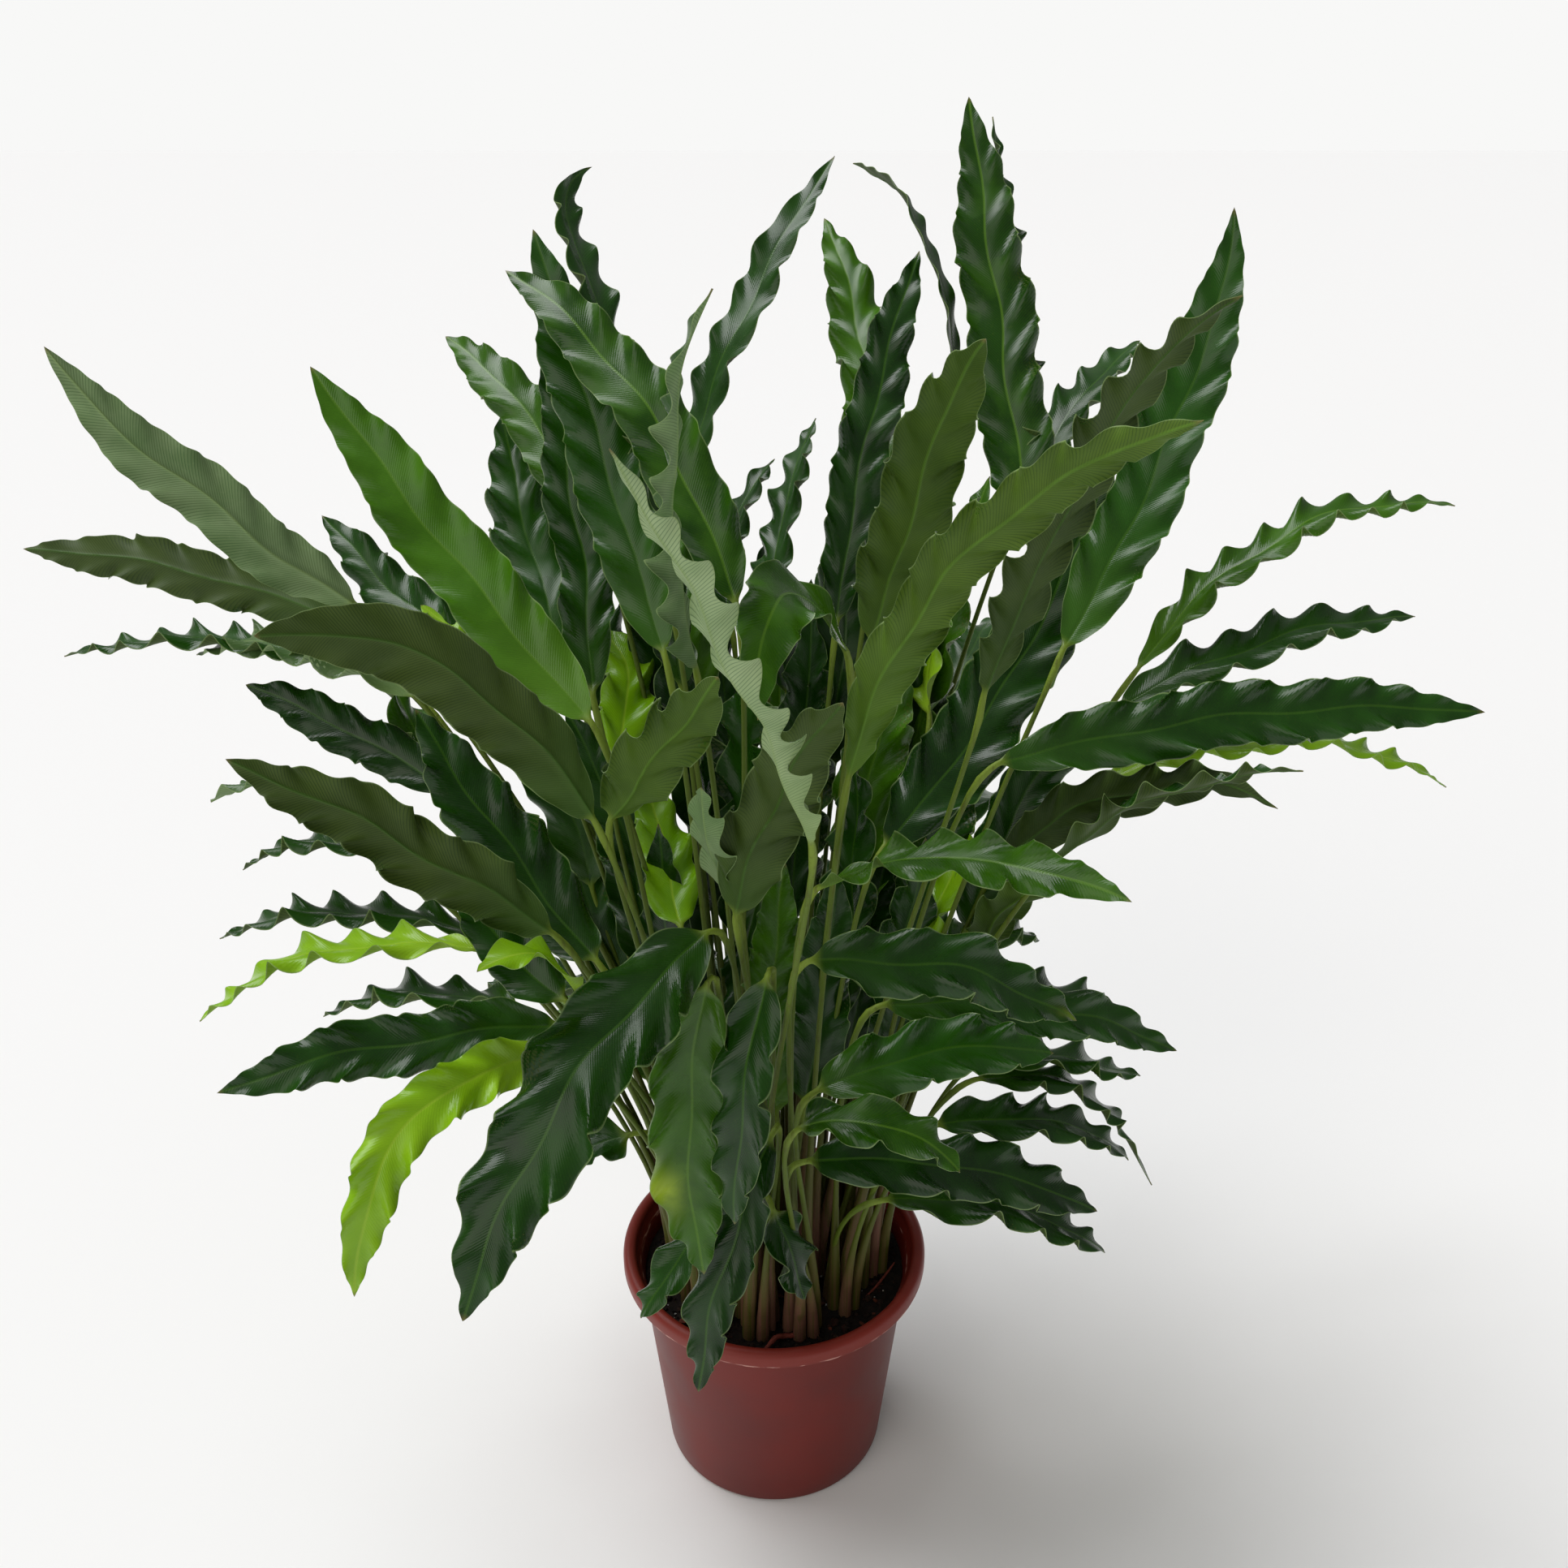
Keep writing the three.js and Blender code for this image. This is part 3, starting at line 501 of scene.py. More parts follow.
def leaf_material(slot):
    """Living leaf skin, waxy above and finely hairy below."""
    look = {key: linear(value) for key, value in LEAF_LOOKS[slot].items()}
    stalk = {key: linear(value) for key, value in STALK_LOOK.items()}
    material, tree, output = new_material("living_" + slot + "_waxy_above_hairy_below")
    read = lambda name: put(tree, "Attribute", attribute_name=name).outputs["Fac"]
    place = put(tree, "TexCoord").outputs["Object"]
    upper, across, blade, rise, tint = (read(n) for n in ("upper", "across", "blade", "rise", "tint"))

    cloud = noise(tree, place, 38.0, 3.0)
    fleck = noise(tree, place, 420.0, 2.0)
    turn = times(tree, read("vein"), 2 * math.pi / VEIN_SPACING)
    veins = math_node(tree, "SINE", plus(tree, turn, times(tree, cloud, 1.5)))
    vein_line = ramp(tree, veins, 0.55, 1.0)

    blend = plus(tree, ramp(tree, cloud, 0.3, 0.72, 0.0, 0.4), times(tree, tint, 0.6))
    top = mixed(tree, blend, look["upper"], look["bright"])
    top = mixed(tree, times(tree, vein_line, 0.16), top, look["bright"])
    below = mixed(tree, blend, look["under"], look["back"])
    below = mixed(tree, times(tree, vein_line, 0.6), below, look["upper"])
    skin = mixed(tree, upper, below, top)
    young_base = times(tree, ramp(tree, read("along"), 0.0, 0.4, 0.6, 0.0), tint)
    skin = mixed(tree, young_base, skin, look["rib"])
    mottled = times(tree, read("yellow"), ramp(tree, cloud, 0.2, 0.6))
    skin = mixed(tree, mottled, skin, linear(YELLOWED))
    near_rib = ramp(tree, read("span"), 0.35 * MM, 1.1 * MM, 0.5, 0.0)
    skin = mixed(tree, near_rib, skin, look["rib"])
    # Painted highlight: the hair-thin margin, paler green of its own, is lightened further where light would
    # catch the rim.
    margin_and_highlight = ramp(tree, across, 0.96, 0.995, 0.0, 0.55)
    skin = mixed(tree, margin_and_highlight, skin, linear(MARGIN_AND_HIGHLIGHT_COLOUR))
    very_tip = ramp(tree, read("along"), 0.978, 1.0, 0.0, 0.8)
    skin = mixed(tree, very_tip, skin, linear(DRY_TIP))
    skin = mixed(tree, ramp(tree, fleck, 0.6, 0.75, 0.0, 0.12), skin, look["back"])

    drawn_out = put(tree, "Mapping", {"Vector": place, "Scale": (420.0, 420.0, 7.0)}).outputs[0]
    streak = noise(tree, drawn_out, 1.0, 2.0)
    by_tint = ramp(tree, tint, 0.2, 0.6, 0.5, -0.3)
    flush = plus(tree, ramp(tree, streak, 0.35, 0.6, 0.0, 0.9), by_tint)
    flush = times(tree, flush, ramp(tree, rise, 0.05, 0.42, 1.0, 0.0))
    stem = mixed(tree, ramp(tree, rise, 0.2, 0.7), stalk["low"], stalk["high"])
    stem = mixed(tree, math_node(tree, "MAXIMUM", flush, 0.0), stem, stalk["base"])
    stem = mixed(tree, ramp(tree, rise, 0.9, 0.98), stem, stalk["joint"])
    stem = mixed(tree, ramp(tree, streak, 0.5, 0.75, 0.0, 0.6), stem, stalk["low"])
    colour = mixed(tree, blade, stem, skin)

    polish = ramp(tree, cloud, 0.3, 0.7, 0.2, 0.32)
    rough = put(tree, "Mix", {0: upper, 2: 0.62, 3: polish}).outputs[0]
    rough = put(tree, "Mix", {0: blade, 2: 0.55, 3: rough}).outputs[0]
    relief = plus(tree, times(tree, veins, 0.5), fleck)
    surface_of(tree, output, {
        "Base Color": colour,
        "Roughness": rough,
        "IOR": 1.42,
        "Specular IOR Level": 0.44,
        "Normal": bumps(tree, relief, 0.35, VEIN_RELIEF),
    })
    return material


leaf_skins = {slot: leaf_material(slot) for slot in LEAF_LOOKS}

# %% [markdown]
# ## The leaves
#
# Each leaf of the frame is replaced by its fine one, which keeps the spine, the width and the facing
# of its plain solid. The dictionary holds what is particular to one leaf: how strongly it is
# ruffled, folded, rolled and narrowed, how it leans or hooks at its tip, in millimetres, how fresh
# its green is, and where it has yellowed. A leaf that leans leaves the place of its plain solid.

# %% What is particular to single leaves
LEAF_SHAPES = {
    "leaf_01": dict(tint=0.2),
    "leaf_02": dict(tint=0.4, patch=(0.7, 0.75)),
    "leaf_03": dict(tint=0.1),
    "leaf_04": dict(tint=-0.1),
    "leaf_05": dict(waves=0.46, fold=0.5, roll=-14, slim=0.66, lean=(-34, 3, 0), tint=1.0),
    "leaf_06": dict(tint=0.0),
    "leaf_07": dict(tint=0.3, patch=(1, 0)),
    "leaf_10": dict(tint=0.0),
    # Painted light, in part: a tint of 0.7 lightens its olive underside, partly a fresher green and partly
    # light shining through the blade.
    "leaf_11": dict(waves=0.5, fold=0.3, slim=0.8, tint=0.7),
    "leaf_12": dict(waves=0.16, hook=(8, 0, 6)),
    "leaf_16": dict(waves=0.16, tint=1.0),
    "leaf_22": dict(hook=(0, 0, -6)),
    "leaf_23": dict(hook=(20, 0, -32)),
    "leaf_28": dict(waves=0.16, tint=0.3),
    # Painted sheen: a tint of 1 lightens this glossy leaf as if it reflected the bright sky.
    "leaf_30": dict(waves=0.28, hook=(-8, 0, 4), tint=1.0),
    "leaf_31": dict(hook=(8, 0, -14)),
    "leaf_35": dict(waves=0.26, tint=0.0),
    "leaf_37": dict(waves=0.26, hook=(30, 0, -16), lean=(-4, 0, 28)),
    "leaf_38": dict(waves=0.2, hook=(2, 0, 5)),
    "leaf_44": dict(waves=0.4, fold=0.35, slim=0.85, hook=(8, 0, 4), tint=0.1),
    "leaf_49": dict(waves=0.22, tint=0.5),
    "leaf_50": dict(waves=0.3, tint=-0.25),
    "leaf_54": dict(waves=0.14, slim=0.8, tint=0.6),
    "leaf_56": dict(waves=0.26, tint=0.4),
}

# %% Make them
for number, name in enumerate(leaf_names, start=1):
    surface = leaf_surface(bones[name], seed=number, **LEAF_SHAPES.get(name, {}))
    mesh = leaves_mesh("fine_" + name, [surface])
    piece = show(mesh, leaf_skins[slot_of[name]])
    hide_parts(name)
print("faces on one leaf:", len(mesh.polygons))

# %% [markdown]
# ## Leaves deep in the clump
#
# Some sixty smaller leaves grow between and behind the others and are mostly hidden. They are made
# by the same function from a short description each, in millimetres: where the blade starts and
# ends, from the centre of the soil, its width, how far it arches and sways, and how it is rolled.
# Only their feet are kept apart, so some of their stalks and blades cross others. Those with
# one finish are joined, a dozen to a piece, because nobody would handle them one by one.

# %% Spine of an inner leaf
soil_low, soil_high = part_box("soil")
SOIL_TOP = soil_high.z
STALK_SHARES = np.array([0, 0.2, 0.42, 0.62, 0.78, 0.9, 1])
BLADE_SHARES = np.array([0.05, 0.14, 0.26, 0.38, 0.5, 0.62, 0.74, 0.85, 0.94, 1])
SUNK = 12 * MM
FOOT_PULL = 0.42  # share of the joint's height
JOINT_PULL = 30 * MM


def inner_bone(at, to, wide, foot, arch=0, sway=0, roll=0):
    """Middle, facing direction and half width along an inner leaf.

    The stalk is a Bezier curve, (1-t)^3 a + 3 (1-t)^2 t b + 3 (1-t) t^2 c + t^3 d, straight up at
    the foot and along the blade at the joint. The blade is its chord plus 4 t (1-t) of its arch."""
    at, to = (np.array(place) * MM + (0, 0, SOIL_TOP) for place in (at, to))
    chord = unit(to - at)
    side = unit(np.cross(chord, (0, 0, 1)))
    face = np.cross(side, chord)
    bulge = (face * arch + side * sway) * MM
    t = BLADE_SHARES[:, None]
    blade = at + (to - at) * t + 4 * t * (1 - t) * bulge
    start = unit(to - at + 4 * bulge)
    lift = np.array([0, 0, FOOT_PULL * (at[2] - SOIL_TOP)])
    t = STALK_SHARES[:, None]
    controls = (foot, foot + lift, at - JOINT_PULL * start, at)
    weights = ((1 - t) ** 3, 3 * (1 - t) ** 2 * t, 3 * (1 - t) * t**2, t**3)
    stalk = sum(weight * point for weight, point in zip(weights, controls))
    centres = np.vstack([foot - (0, 0, SUNK), stalk, blade])
    way = unit(np.gradient(centres, axis=0))
    turned = face * math.cos(math.radians(roll)) + side * math.sin(math.radians(roll))
    faces = [unit(turned - way[STALK_RINGS] * (turned @ way[STALK_RINGS]))]
    for k in range(STALK_RINGS - 1, -1, -1):
        faces.insert(0, unit(faces[0] - way[k] * (faces[0] @ way[k])))
    on_blade = way[STALK_RINGS:]
    flat = turned - on_blade * (on_blade @ turned)[:, None]
    return {
        "centres": centres,
        "faces": np.vstack([faces[:-1], unit(flat)]),
        "half": wide / 2 * MM,
    }


# %% Ground for their feet
FOOT_GAP = 8 * MM
FEET_REACH = 80 * MM
ROUNDS = 60


def free_feet(goals):
    """Feet near their goals, pushed apart round after round: each moves by half of what it lacks
    of the gap to every other."""
    taken = np.array([b["centres"][0, :2] for b in bones.values()])
    feet = np.array(goals, dtype=float)
    for _ in range(ROUNDS):
        others = np.vstack([taken, feet])
        away = feet[:, None] - others[None]
        gap = np.linalg.norm(away, axis=2)
        gap[gap < 1e-9] = 1
        push = np.clip(FOOT_GAP - gap, 0, None) / gap
        feet = feet + 0.5 * (away * push[..., None]).sum(axis=1)
        reach = np.linalg.norm(feet, axis=1, keepdims=True)
        feet *= np.minimum(1, FEET_REACH / reach)
    return feet


# %% The inner leaves
INNER_LEAVES = [
    ("mature", (-90, -50, 155), (-125, -60, 145), 30, dict(roll=-20)),
    ("fresh", (-90, -60, 385), (-25, -130, 500), 40, dict(roll=-45)),
    ("young", (-105, -120, 310), (-150, -160, 350), 27, dict(arch=15, roll=-5)),
    ("pale", (-20, -60, 325), (-35, -120, 435), 31, dict(sway=5, roll=-35)),
    ("mature", (-35, -95, 130), (-80, -130, 80), 30, dict(arch=5)),
    ("fresh", (-20, -100, 200), (-40, -115, 145), 29, dict(arch=10, roll=5)),
    ("mature", (0, -95, 135), (20, -115, 80), 30, dict()),
    ("mature", (70, -62, 112), (220, -45, 52), 38, dict(arch=18, roll=12)),
    ("mature", (115, -30, 255), (225, 10, 210), 36, dict(arch=5)),
    ("mature", (140, -10, 185), (250, 30, 140), 32, dict(arch=5)),
    ("young", (95, 0, 255), (130, 60, 320), 26, dict(arch=10, roll=-20)),
    ("fresh", (130, 30, 230), (165, -30, 340), 30, dict(arch=5, roll=-30)),
    ("young", (100, 80, 385), (115, 150, 460), 29, dict(sway=-5, roll=-60)),
    ("mature", (10, 170, 360), (-5, 270, 450), 37, dict(roll=35)),
    ("mature", (-30, 190, 410), (0, 300, 495), 32, dict(arch=5, sway=-15, roll=-30)),
    ("mature", (-10, 40, 280), (-25, -20, 200), 30, dict(roll=10)),
    ("mature", (-55, 40, 420), (-90, 170, 530), 36, dict(arch=10, roll=40)),
    ("young", (-100, 40, 375), (-115, 130, 430), 35, dict(sway=15, roll=15)),
    ("young", (-155, 60, 410), (-225, 110, 450), 32, dict(roll=5)),
    ("pale", (-215, 40, 415), (-370, 100, 420), 36, dict(arch=20, roll=-5)),
    ("young", (-55, -30, 295), (-80, 60, 350), 36, dict(roll=5)),
    ("pale", (-255, -10, 360), (-345, 20, 355), 26, dict(arch=15, roll=15)),
    ("mature", (-40, 60, 250), (-75, 110, 450), 44, dict(arch=10, roll=10)),
    ("mature", (10, 70, 235), (25, 120, 445), 46, dict(arch=-8, roll=-10)),
    ("fresh", (55, 60, 245), (85, 110, 450), 44, dict(arch=12, roll=15)),
    ("mature", (-80, 30, 220), (-130, 60, 400), 42, dict(arch=15, roll=-50)),
    ("mature", (95, 40, 225), (135, 80, 420), 42, dict(arch=12, roll=48)),
    ("mature", (-10, 20, 205), (-50, 60, 390), 40, dict(arch=-5, roll=30)),
    ("mature", (38, 20, 190), (50, 50, 380), 42, dict(sway=8, roll=-30)),
    ("mature", (-60, 90, 335), (-100, 170, 525), 42, dict(arch=12, roll=-15)),
    ("mature", (40, 110, 335), (65, 190, 530), 42, dict(arch=15, roll=5)),
    ("fresh", (90, 90, 340), (140, 160, 520), 40, dict(arch=10, roll=-20)),
    ("mature", (-120, 60, 270), (-190, 110, 420), 40, dict(arch=15, roll=-55)),
    ("mature", (125, 20, 260), (200, 60, 400), 38, dict(arch=15, roll=50)),
    ("mature", (-25, 120, 260), (-45, 210, 410), 42, dict(arch=20, roll=20)),
    ("mature", (70, 130, 260), (100, 230, 400), 42, dict(arch=20, roll=-20)),
    ("mature", (-62, -15, 165), (-70, 10, 345), 38, dict(arch=5, roll=-40)),
    ("mature", (74, -10, 160), (95, 20, 330), 38, dict(arch=5, roll=50)),
    ("fresh", (2, -25, 150), (8, 5, 320), 38, dict(sway=-6, roll=10)),
    ("mature", (-100, 120, 330), (-150, 250, 420), 40, dict(arch=35, roll=10)),
    ("fresh", (10, 150, 300), (-10, 290, 360), 42, dict(arch=35)),
    ("mature", (110, 130, 320), (170, 270, 380), 42, dict(arch=35, roll=-10)),
    ("mature", (-60, 110, 200), (-110, 230, 230), 40, dict(arch=30)),
    ("mature", (40, 110, 180), (60, 240, 190), 40, dict(arch=30, roll=-10)),
    ("fresh", (100, 90, 170), (200, 170, 160), 38, dict(arch=25, roll=10)),
    ("mature", (-100, 60, 160), (-210, 120, 150), 36, dict(arch=25)),
    ("mature", (-95, 70, 230), (-175, 120, 370), 44, dict(arch=10, roll=-58)),
    ("mature", (-20, 45, 270), (-8, 75, 470), 44, dict(arch=6, roll=-25)),
    ("mature", (75, 75, 250), (110, 120, 440), 44, dict(arch=8, roll=40)),
    ("mature", (20, -40, 170), (38, -20, 330), 36, dict(arch=-4, roll=40)),
    ("mature", (-85, 35, 130), (-140, 70, 300), 42, dict(arch=8, roll=-50)),
    ("mature", (-45, 30, 130), (-70, 55, 300), 42, dict(arch=5, roll=-35)),
    ("mature", (50, 35, 130), (75, 60, 300), 42, dict(arch=5, roll=30)),
    ("mature", (-20, 120, 120), (-45, 250, 60), 42, dict(arch=35)),
    ("mature", (60, 110, 115), (120, 230, 50), 40, dict(arch=35, roll=10)),
    ("fresh", (-80, 95, 130), (-170, 190, 70), 38, dict(arch=30, roll=-10)),
    ("mature", (10, 130, 235), (25, 280, 240), 42, dict(arch=35, roll=5)),
    ("mature", (90, 120, 240), (185, 240, 240), 42, dict(arch=32, roll=10)),
    ("mature", (-90, 120, 250), (-190, 235, 260), 42, dict(arch=32, roll=-10)),
    ("mature", (30, 140, 330), (55, 290, 420), 44, dict(arch=30, roll=5)),
    ("fresh", (-50, 140, 360), (-100, 280, 470), 44, dict(arch=30, roll=-10)),
]
starts = np.array([leaf[1] for leaf in INNER_LEAVES], dtype=float)[:, :2] * MM
distance = np.linalg.norm(starts, axis=1, keepdims=True)
FOOT_SHARE, FOOT_START, FOOT_LIMIT = 0.45, 8 * MM, 70 * MM  # how far out a foot stands
inner_feet = free_feet(starts / distance * np.minimum(FOOT_SHARE * distance + FOOT_START, FOOT_LIMIT))


# %% Make the inner leaves
LEAVES_IN_A_PIECE = 12
INNER_ROWS = 70
INNER_SEED = 100
for slot in LEAF_LOOKS:
    surfaces = []
    for number, (kind, at, to, wide, shape) in enumerate(INNER_LEAVES):
        if slot == "leaf_" + kind:
            foot = np.array([*inner_feet[number], SOIL_TOP])
            bone = inner_bone(at, to, wide, foot, **shape)
            surfaces.append(leaf_surface(bone, seed=INNER_SEED + number, rows=INNER_ROWS))
    for first in range(0, len(surfaces), LEAVES_IN_A_PIECE):
        group = surfaces[first : first + LEAVES_IN_A_PIECE]
        name = "inner_%s_%d" % (slot.replace("leaf", "leaves"), 1 + first // LEAVES_IN_A_PIECE)
        inner = show(leaves_mesh(name, group), leaf_skins[slot])
        print(inner.name, len(group), "leaves")

# %% [markdown]
# ## The pot
#
# A nursery pot is injection-moulded polypropylene: a thin tapered wall, a flat floor with drain
# holes, and a thick rolled rim that stiffens it and gives a hand something to hold. It is a profile
# turned about the Z axis, from the underside out, over the rim and down to the inner floor. The
# rolled rim and the edge of the base are arcs.

# %% Turned shapes
POT_SIDES = 160


def arc(centre, radius, start, end, count=7):
    """Points on a circle, centre + radius (cos, sin) of angles from start to end in degrees."""
    angle = np.radians(np.linspace(start, end, count))
    return np.column_stack([centre[0] + radius * np.cos(angle), centre[1] + radius * np.sin(angle)])


def turned_mesh(name, profile, sides, lift=None):
    """A profile of (radius, height) carried round the Z axis: (r cos a, r sin a, z). Lift adds a
    height to each point, given its x and y."""
    turn = np.linspace(0, 2 * np.pi, sides, endpoint=False)
    radius, height = profile[:, :1], profile[:, 1:]
    x, y = radius * np.cos(turn), radius * np.sin(turn)
    z = np.broadcast_to(height, x.shape)
    if lift is not None:
        z = z + lift(x, y)
    points = np.stack([x, y, z], axis=-1).reshape(-1, 3)
    ends = [np.arange(sides)[::-1], np.arange(sides) + (len(profile) - 1) * sides]
    return mesh_from(name, points, tube_faces(len(profile), sides), ends)


# %% The pot's profile, in millimetres
pot_low, pot_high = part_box("pot")
RIM = pot_high.x / MM
TOP = pot_high.z / MM
BASE, WALL, FLOOR, ROLL = 77, 2, 2.5, 4.5
SHOULDER = (93, TOP - 14)  # where the wall meets the rim
LIP_EDGE = TOP - 10.8  # the lower edge of the rolled rim
taper = math.degrees(math.atan2(SHOULDER[0] - BASE, SHOULDER[1]))
rows_up = np.linspace(0.03, 1, 24)[:, None]
outer_wall = np.array([BASE, 0]) + rows_up * np.subtract(SHOULDER, (BASE, 0))
profile = np.vstack([
    [[1, 0], [BASE - 12, 0]],
    arc((BASE - 3.6, 4), 4, -90, -taper),
    outer_wall[2:],
    [[SHOULDER[0] + 0.5, TOP - 12.6], [SHOULDER[0] + 2.4, TOP - 11.6], [RIM - 2.2, TOP - 11.2]],
    arc((RIM - 0.8, TOP - 10.4), 0.8, -90, 0, 4),
    arc((RIM - ROLL, TOP - ROLL), ROLL, 0, 190, 14),
    [[SHOULDER[0] + 0.2, TOP - 10], [SHOULDER[0] - WALL, TOP - 15]],
    outer_wall[::-1][1:-2] - (WALL, 0),
    [[BASE - 6, FLOOR], [1, FLOOR]],
])
pot_mesh = turned_mesh("moulded_pot", profile * MM, POT_SIDES)
print("rim %.0f mm across, pot %.0f mm tall" % (2 * RIM, TOP))

# %% Drain holes
DRAIN_HOLES, DRAIN_RADIUS, DRAIN_CIRCLE = 8, 5, 56
PIN_SIDES = 32


def drill(mesh):
    """The mesh with a ring of round holes cut through its floor by a boolean difference."""
    low, high = -2 * FLOOR, 2 * FLOOR
    profile = np.array([[0.01, low], [DRAIN_RADIUS, low], [DRAIN_RADIUS, high], [0.01, high]])
    pin = turned_mesh("drill", profile * MM, PIN_SIDES)
    target = placed("target", mesh)
    pins = []
    for turn in np.arange(DRAIN_HOLES) * 2 * np.pi / DRAIN_HOLES:
        cutter = placed("cutter", pin)
        cutter.location = (DRAIN_CIRCLE * MM * math.cos(turn), DRAIN_CIRCLE * MM * math.sin(turn), 0)
        cut = target.modifiers.new("cut", "BOOLEAN")
        cut.object, cut.operation, cut.solver = cutter, "DIFFERENCE", "EXACT"
        pins.append(cutter)
    bpy.context.view_layer.update()
    shaped = target.evaluated_get(bpy.context.evaluated_depsgraph_get())
    drilled = bpy.data.meshes.new_from_object(shaped)
    for thing in (target, *pins):
        bpy.data.objects.remove(thing)
    drilled.name = mesh.name
    return drilled


pot_mesh = drill(pot_mesh)
pot_mesh.shade_smooth()
pot_mesh.set_sharp_from_angle(angle=math.radians(40))
print("faces on the pot:", len(pot_mesh.polygons))

# %% [markdown]
# ## Pot plastic
#
# Terracotta-red polypropylene, moulded, matte with a dull sheen. Pots are stacked and dragged, so
# the lower edge of the rim carries small pale scuffs, and soil dust dulls the foot. The rim is
# painted brighter than the wall, a painted highlight of light on its rounded top.

# %% Polypropylene
def pot_material():
    """Moulded terracotta-red polypropylene with a painted highlight on the rim, scuffs at the lip and a fine
    moulded grain.
    """
    material, tree, output = new_material("polypropylene_moulded_terracotta_red")
    place = put(tree, "TexCoord").outputs["Object"]
    height = put(tree, "SeparateXYZ", {0: place}).outputs["Z"]
    cloud = noise(tree, place, 14.0, 4.0)
    grain = noise(tree, place, 900.0, 2.0)
    stretched = put(tree, "Mapping", {"Vector": place, "Scale": (90.0, 90.0, 520.0)}).outputs[0]
    chips = noise(tree, stretched, 1.0, 5.0)
    colour = mixed(tree, ramp(tree, cloud, 0.3, 0.7), linear("#60140c"), linear("#711b11"))
    # Painted highlight: the rim is painted a brighter red, standing for light on its rounded top.
    rim_highlight = ramp(tree, height, SHOULDER[1] * MM, (TOP - 8) * MM, 0.0, 0.55)
    colour = mixed(tree, rim_highlight, colour, linear("#8c2f22"))
    edge = math_node(tree, "ABSOLUTE", math_node(tree, "SUBTRACT", height, LIP_EDGE * MM))
    near_edge = ramp(tree, edge, 0.3 * MM, 1.6 * MM, 1.0, 0.0)
    scuff = times(tree, near_edge, ramp(tree, chips, 0.5, 0.6))
    colour = mixed(tree, times(tree, scuff, 0.8), colour, linear("#d9a79b"))
    dust = times(tree, ramp(tree, height, 0.0, 12 * MM, 0.35, 0.0), cloud)
    colour = mixed(tree, dust, colour, linear("#5a4034"))
    rough = ramp(tree, cloud, 0.3, 0.7, 0.4, 0.5)
    relief = plus(tree, grain, times(tree, cloud, 2.0))
    surface_of(tree, output, {
        "Base Color": colour,
        "Roughness": rough,
        "IOR": 1.49,
        "Specular IOR Level": 0.38,
        "Normal": bumps(tree, relief, 0.25, 0.1 * MM),
    })
    return material


pot_piece = show(pot_mesh, pot_material())
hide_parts("pot")

# %% [markdown]
# ## Soil
#
# Moist peat compost: near-black crumbs, red-brown chips of bark, and white grains of perlite. The
# body of the soil is a turned plug whose top is uneven. The crumbs, chips and grains are some twelve
# hundred small faceted lumps, one mesh for each kind, with a shade for each lump.

# %% Uneven ground
PLANE_WAVES = 24
WAVE_GAIN = 2.5


def lumps(x, y, spacing, height, seed):
    """Height times 2.5 times the mean of 24 plane waves, sin(k . (x, y) + start), with random
    directions and wavelengths around the spacing."""
    rng = np.random.default_rng(seed)
    turn, start = rng.uniform(0, 2 * np.pi, (2, PLANE_WAVES))
    k = 2 * np.pi / (spacing * rng.uniform(0.6, 1.8, PLANE_WAVES))
    waves = np.sin(x[..., None] * k * np.cos(turn) + y[..., None] * k * np.sin(turn) + start)
    return height * waves.mean(axis=-1) * WAVE_GAIN


def ground(x, y):
    """Height of the soil's surface over its level."""
    return lumps(x, y, 30 * MM, 1.6 * MM, 1) + lumps(x, y, 6 * MM, 0.9 * MM, 2)


SOIL_HUB = 0.5 * MM
SOIL_SIDES = 144
SOIL_TAPER = 0.93  # how much of the pot's taper lies within the height of the soil
soil_radius = soil_high.x
soil_rings = np.linspace(SOIL_HUB, soil_radius, 70)
top_profile = np.column_stack([soil_rings, np.full(len(soil_rings), SOIL_TOP)])
low_radius = soil_radius - (SHOULDER[0] - BASE) * MM * SOIL_TAPER
soil_profile = np.vstack([top_profile, [[low_radius, soil_low.z], [SOIL_HUB, soil_low.z]]])
uneven = lambda x, y: ground(x, y) * (np.arange(len(soil_profile)) < len(soil_rings))[:, None]
soil_mesh = turned_mesh("compost", soil_profile, SOIL_SIDES, lift=uneven)
soil_mesh.set_sharp_from_angle(angle=math.radians(50))


# %% Lumps scattered over it
LUMP_SIDES = 6
LUMP_RINGS = 3
LUMP_HALF = 0.8  # height of its top ring, as a share of its size
LUMP_SUNK = 0.3


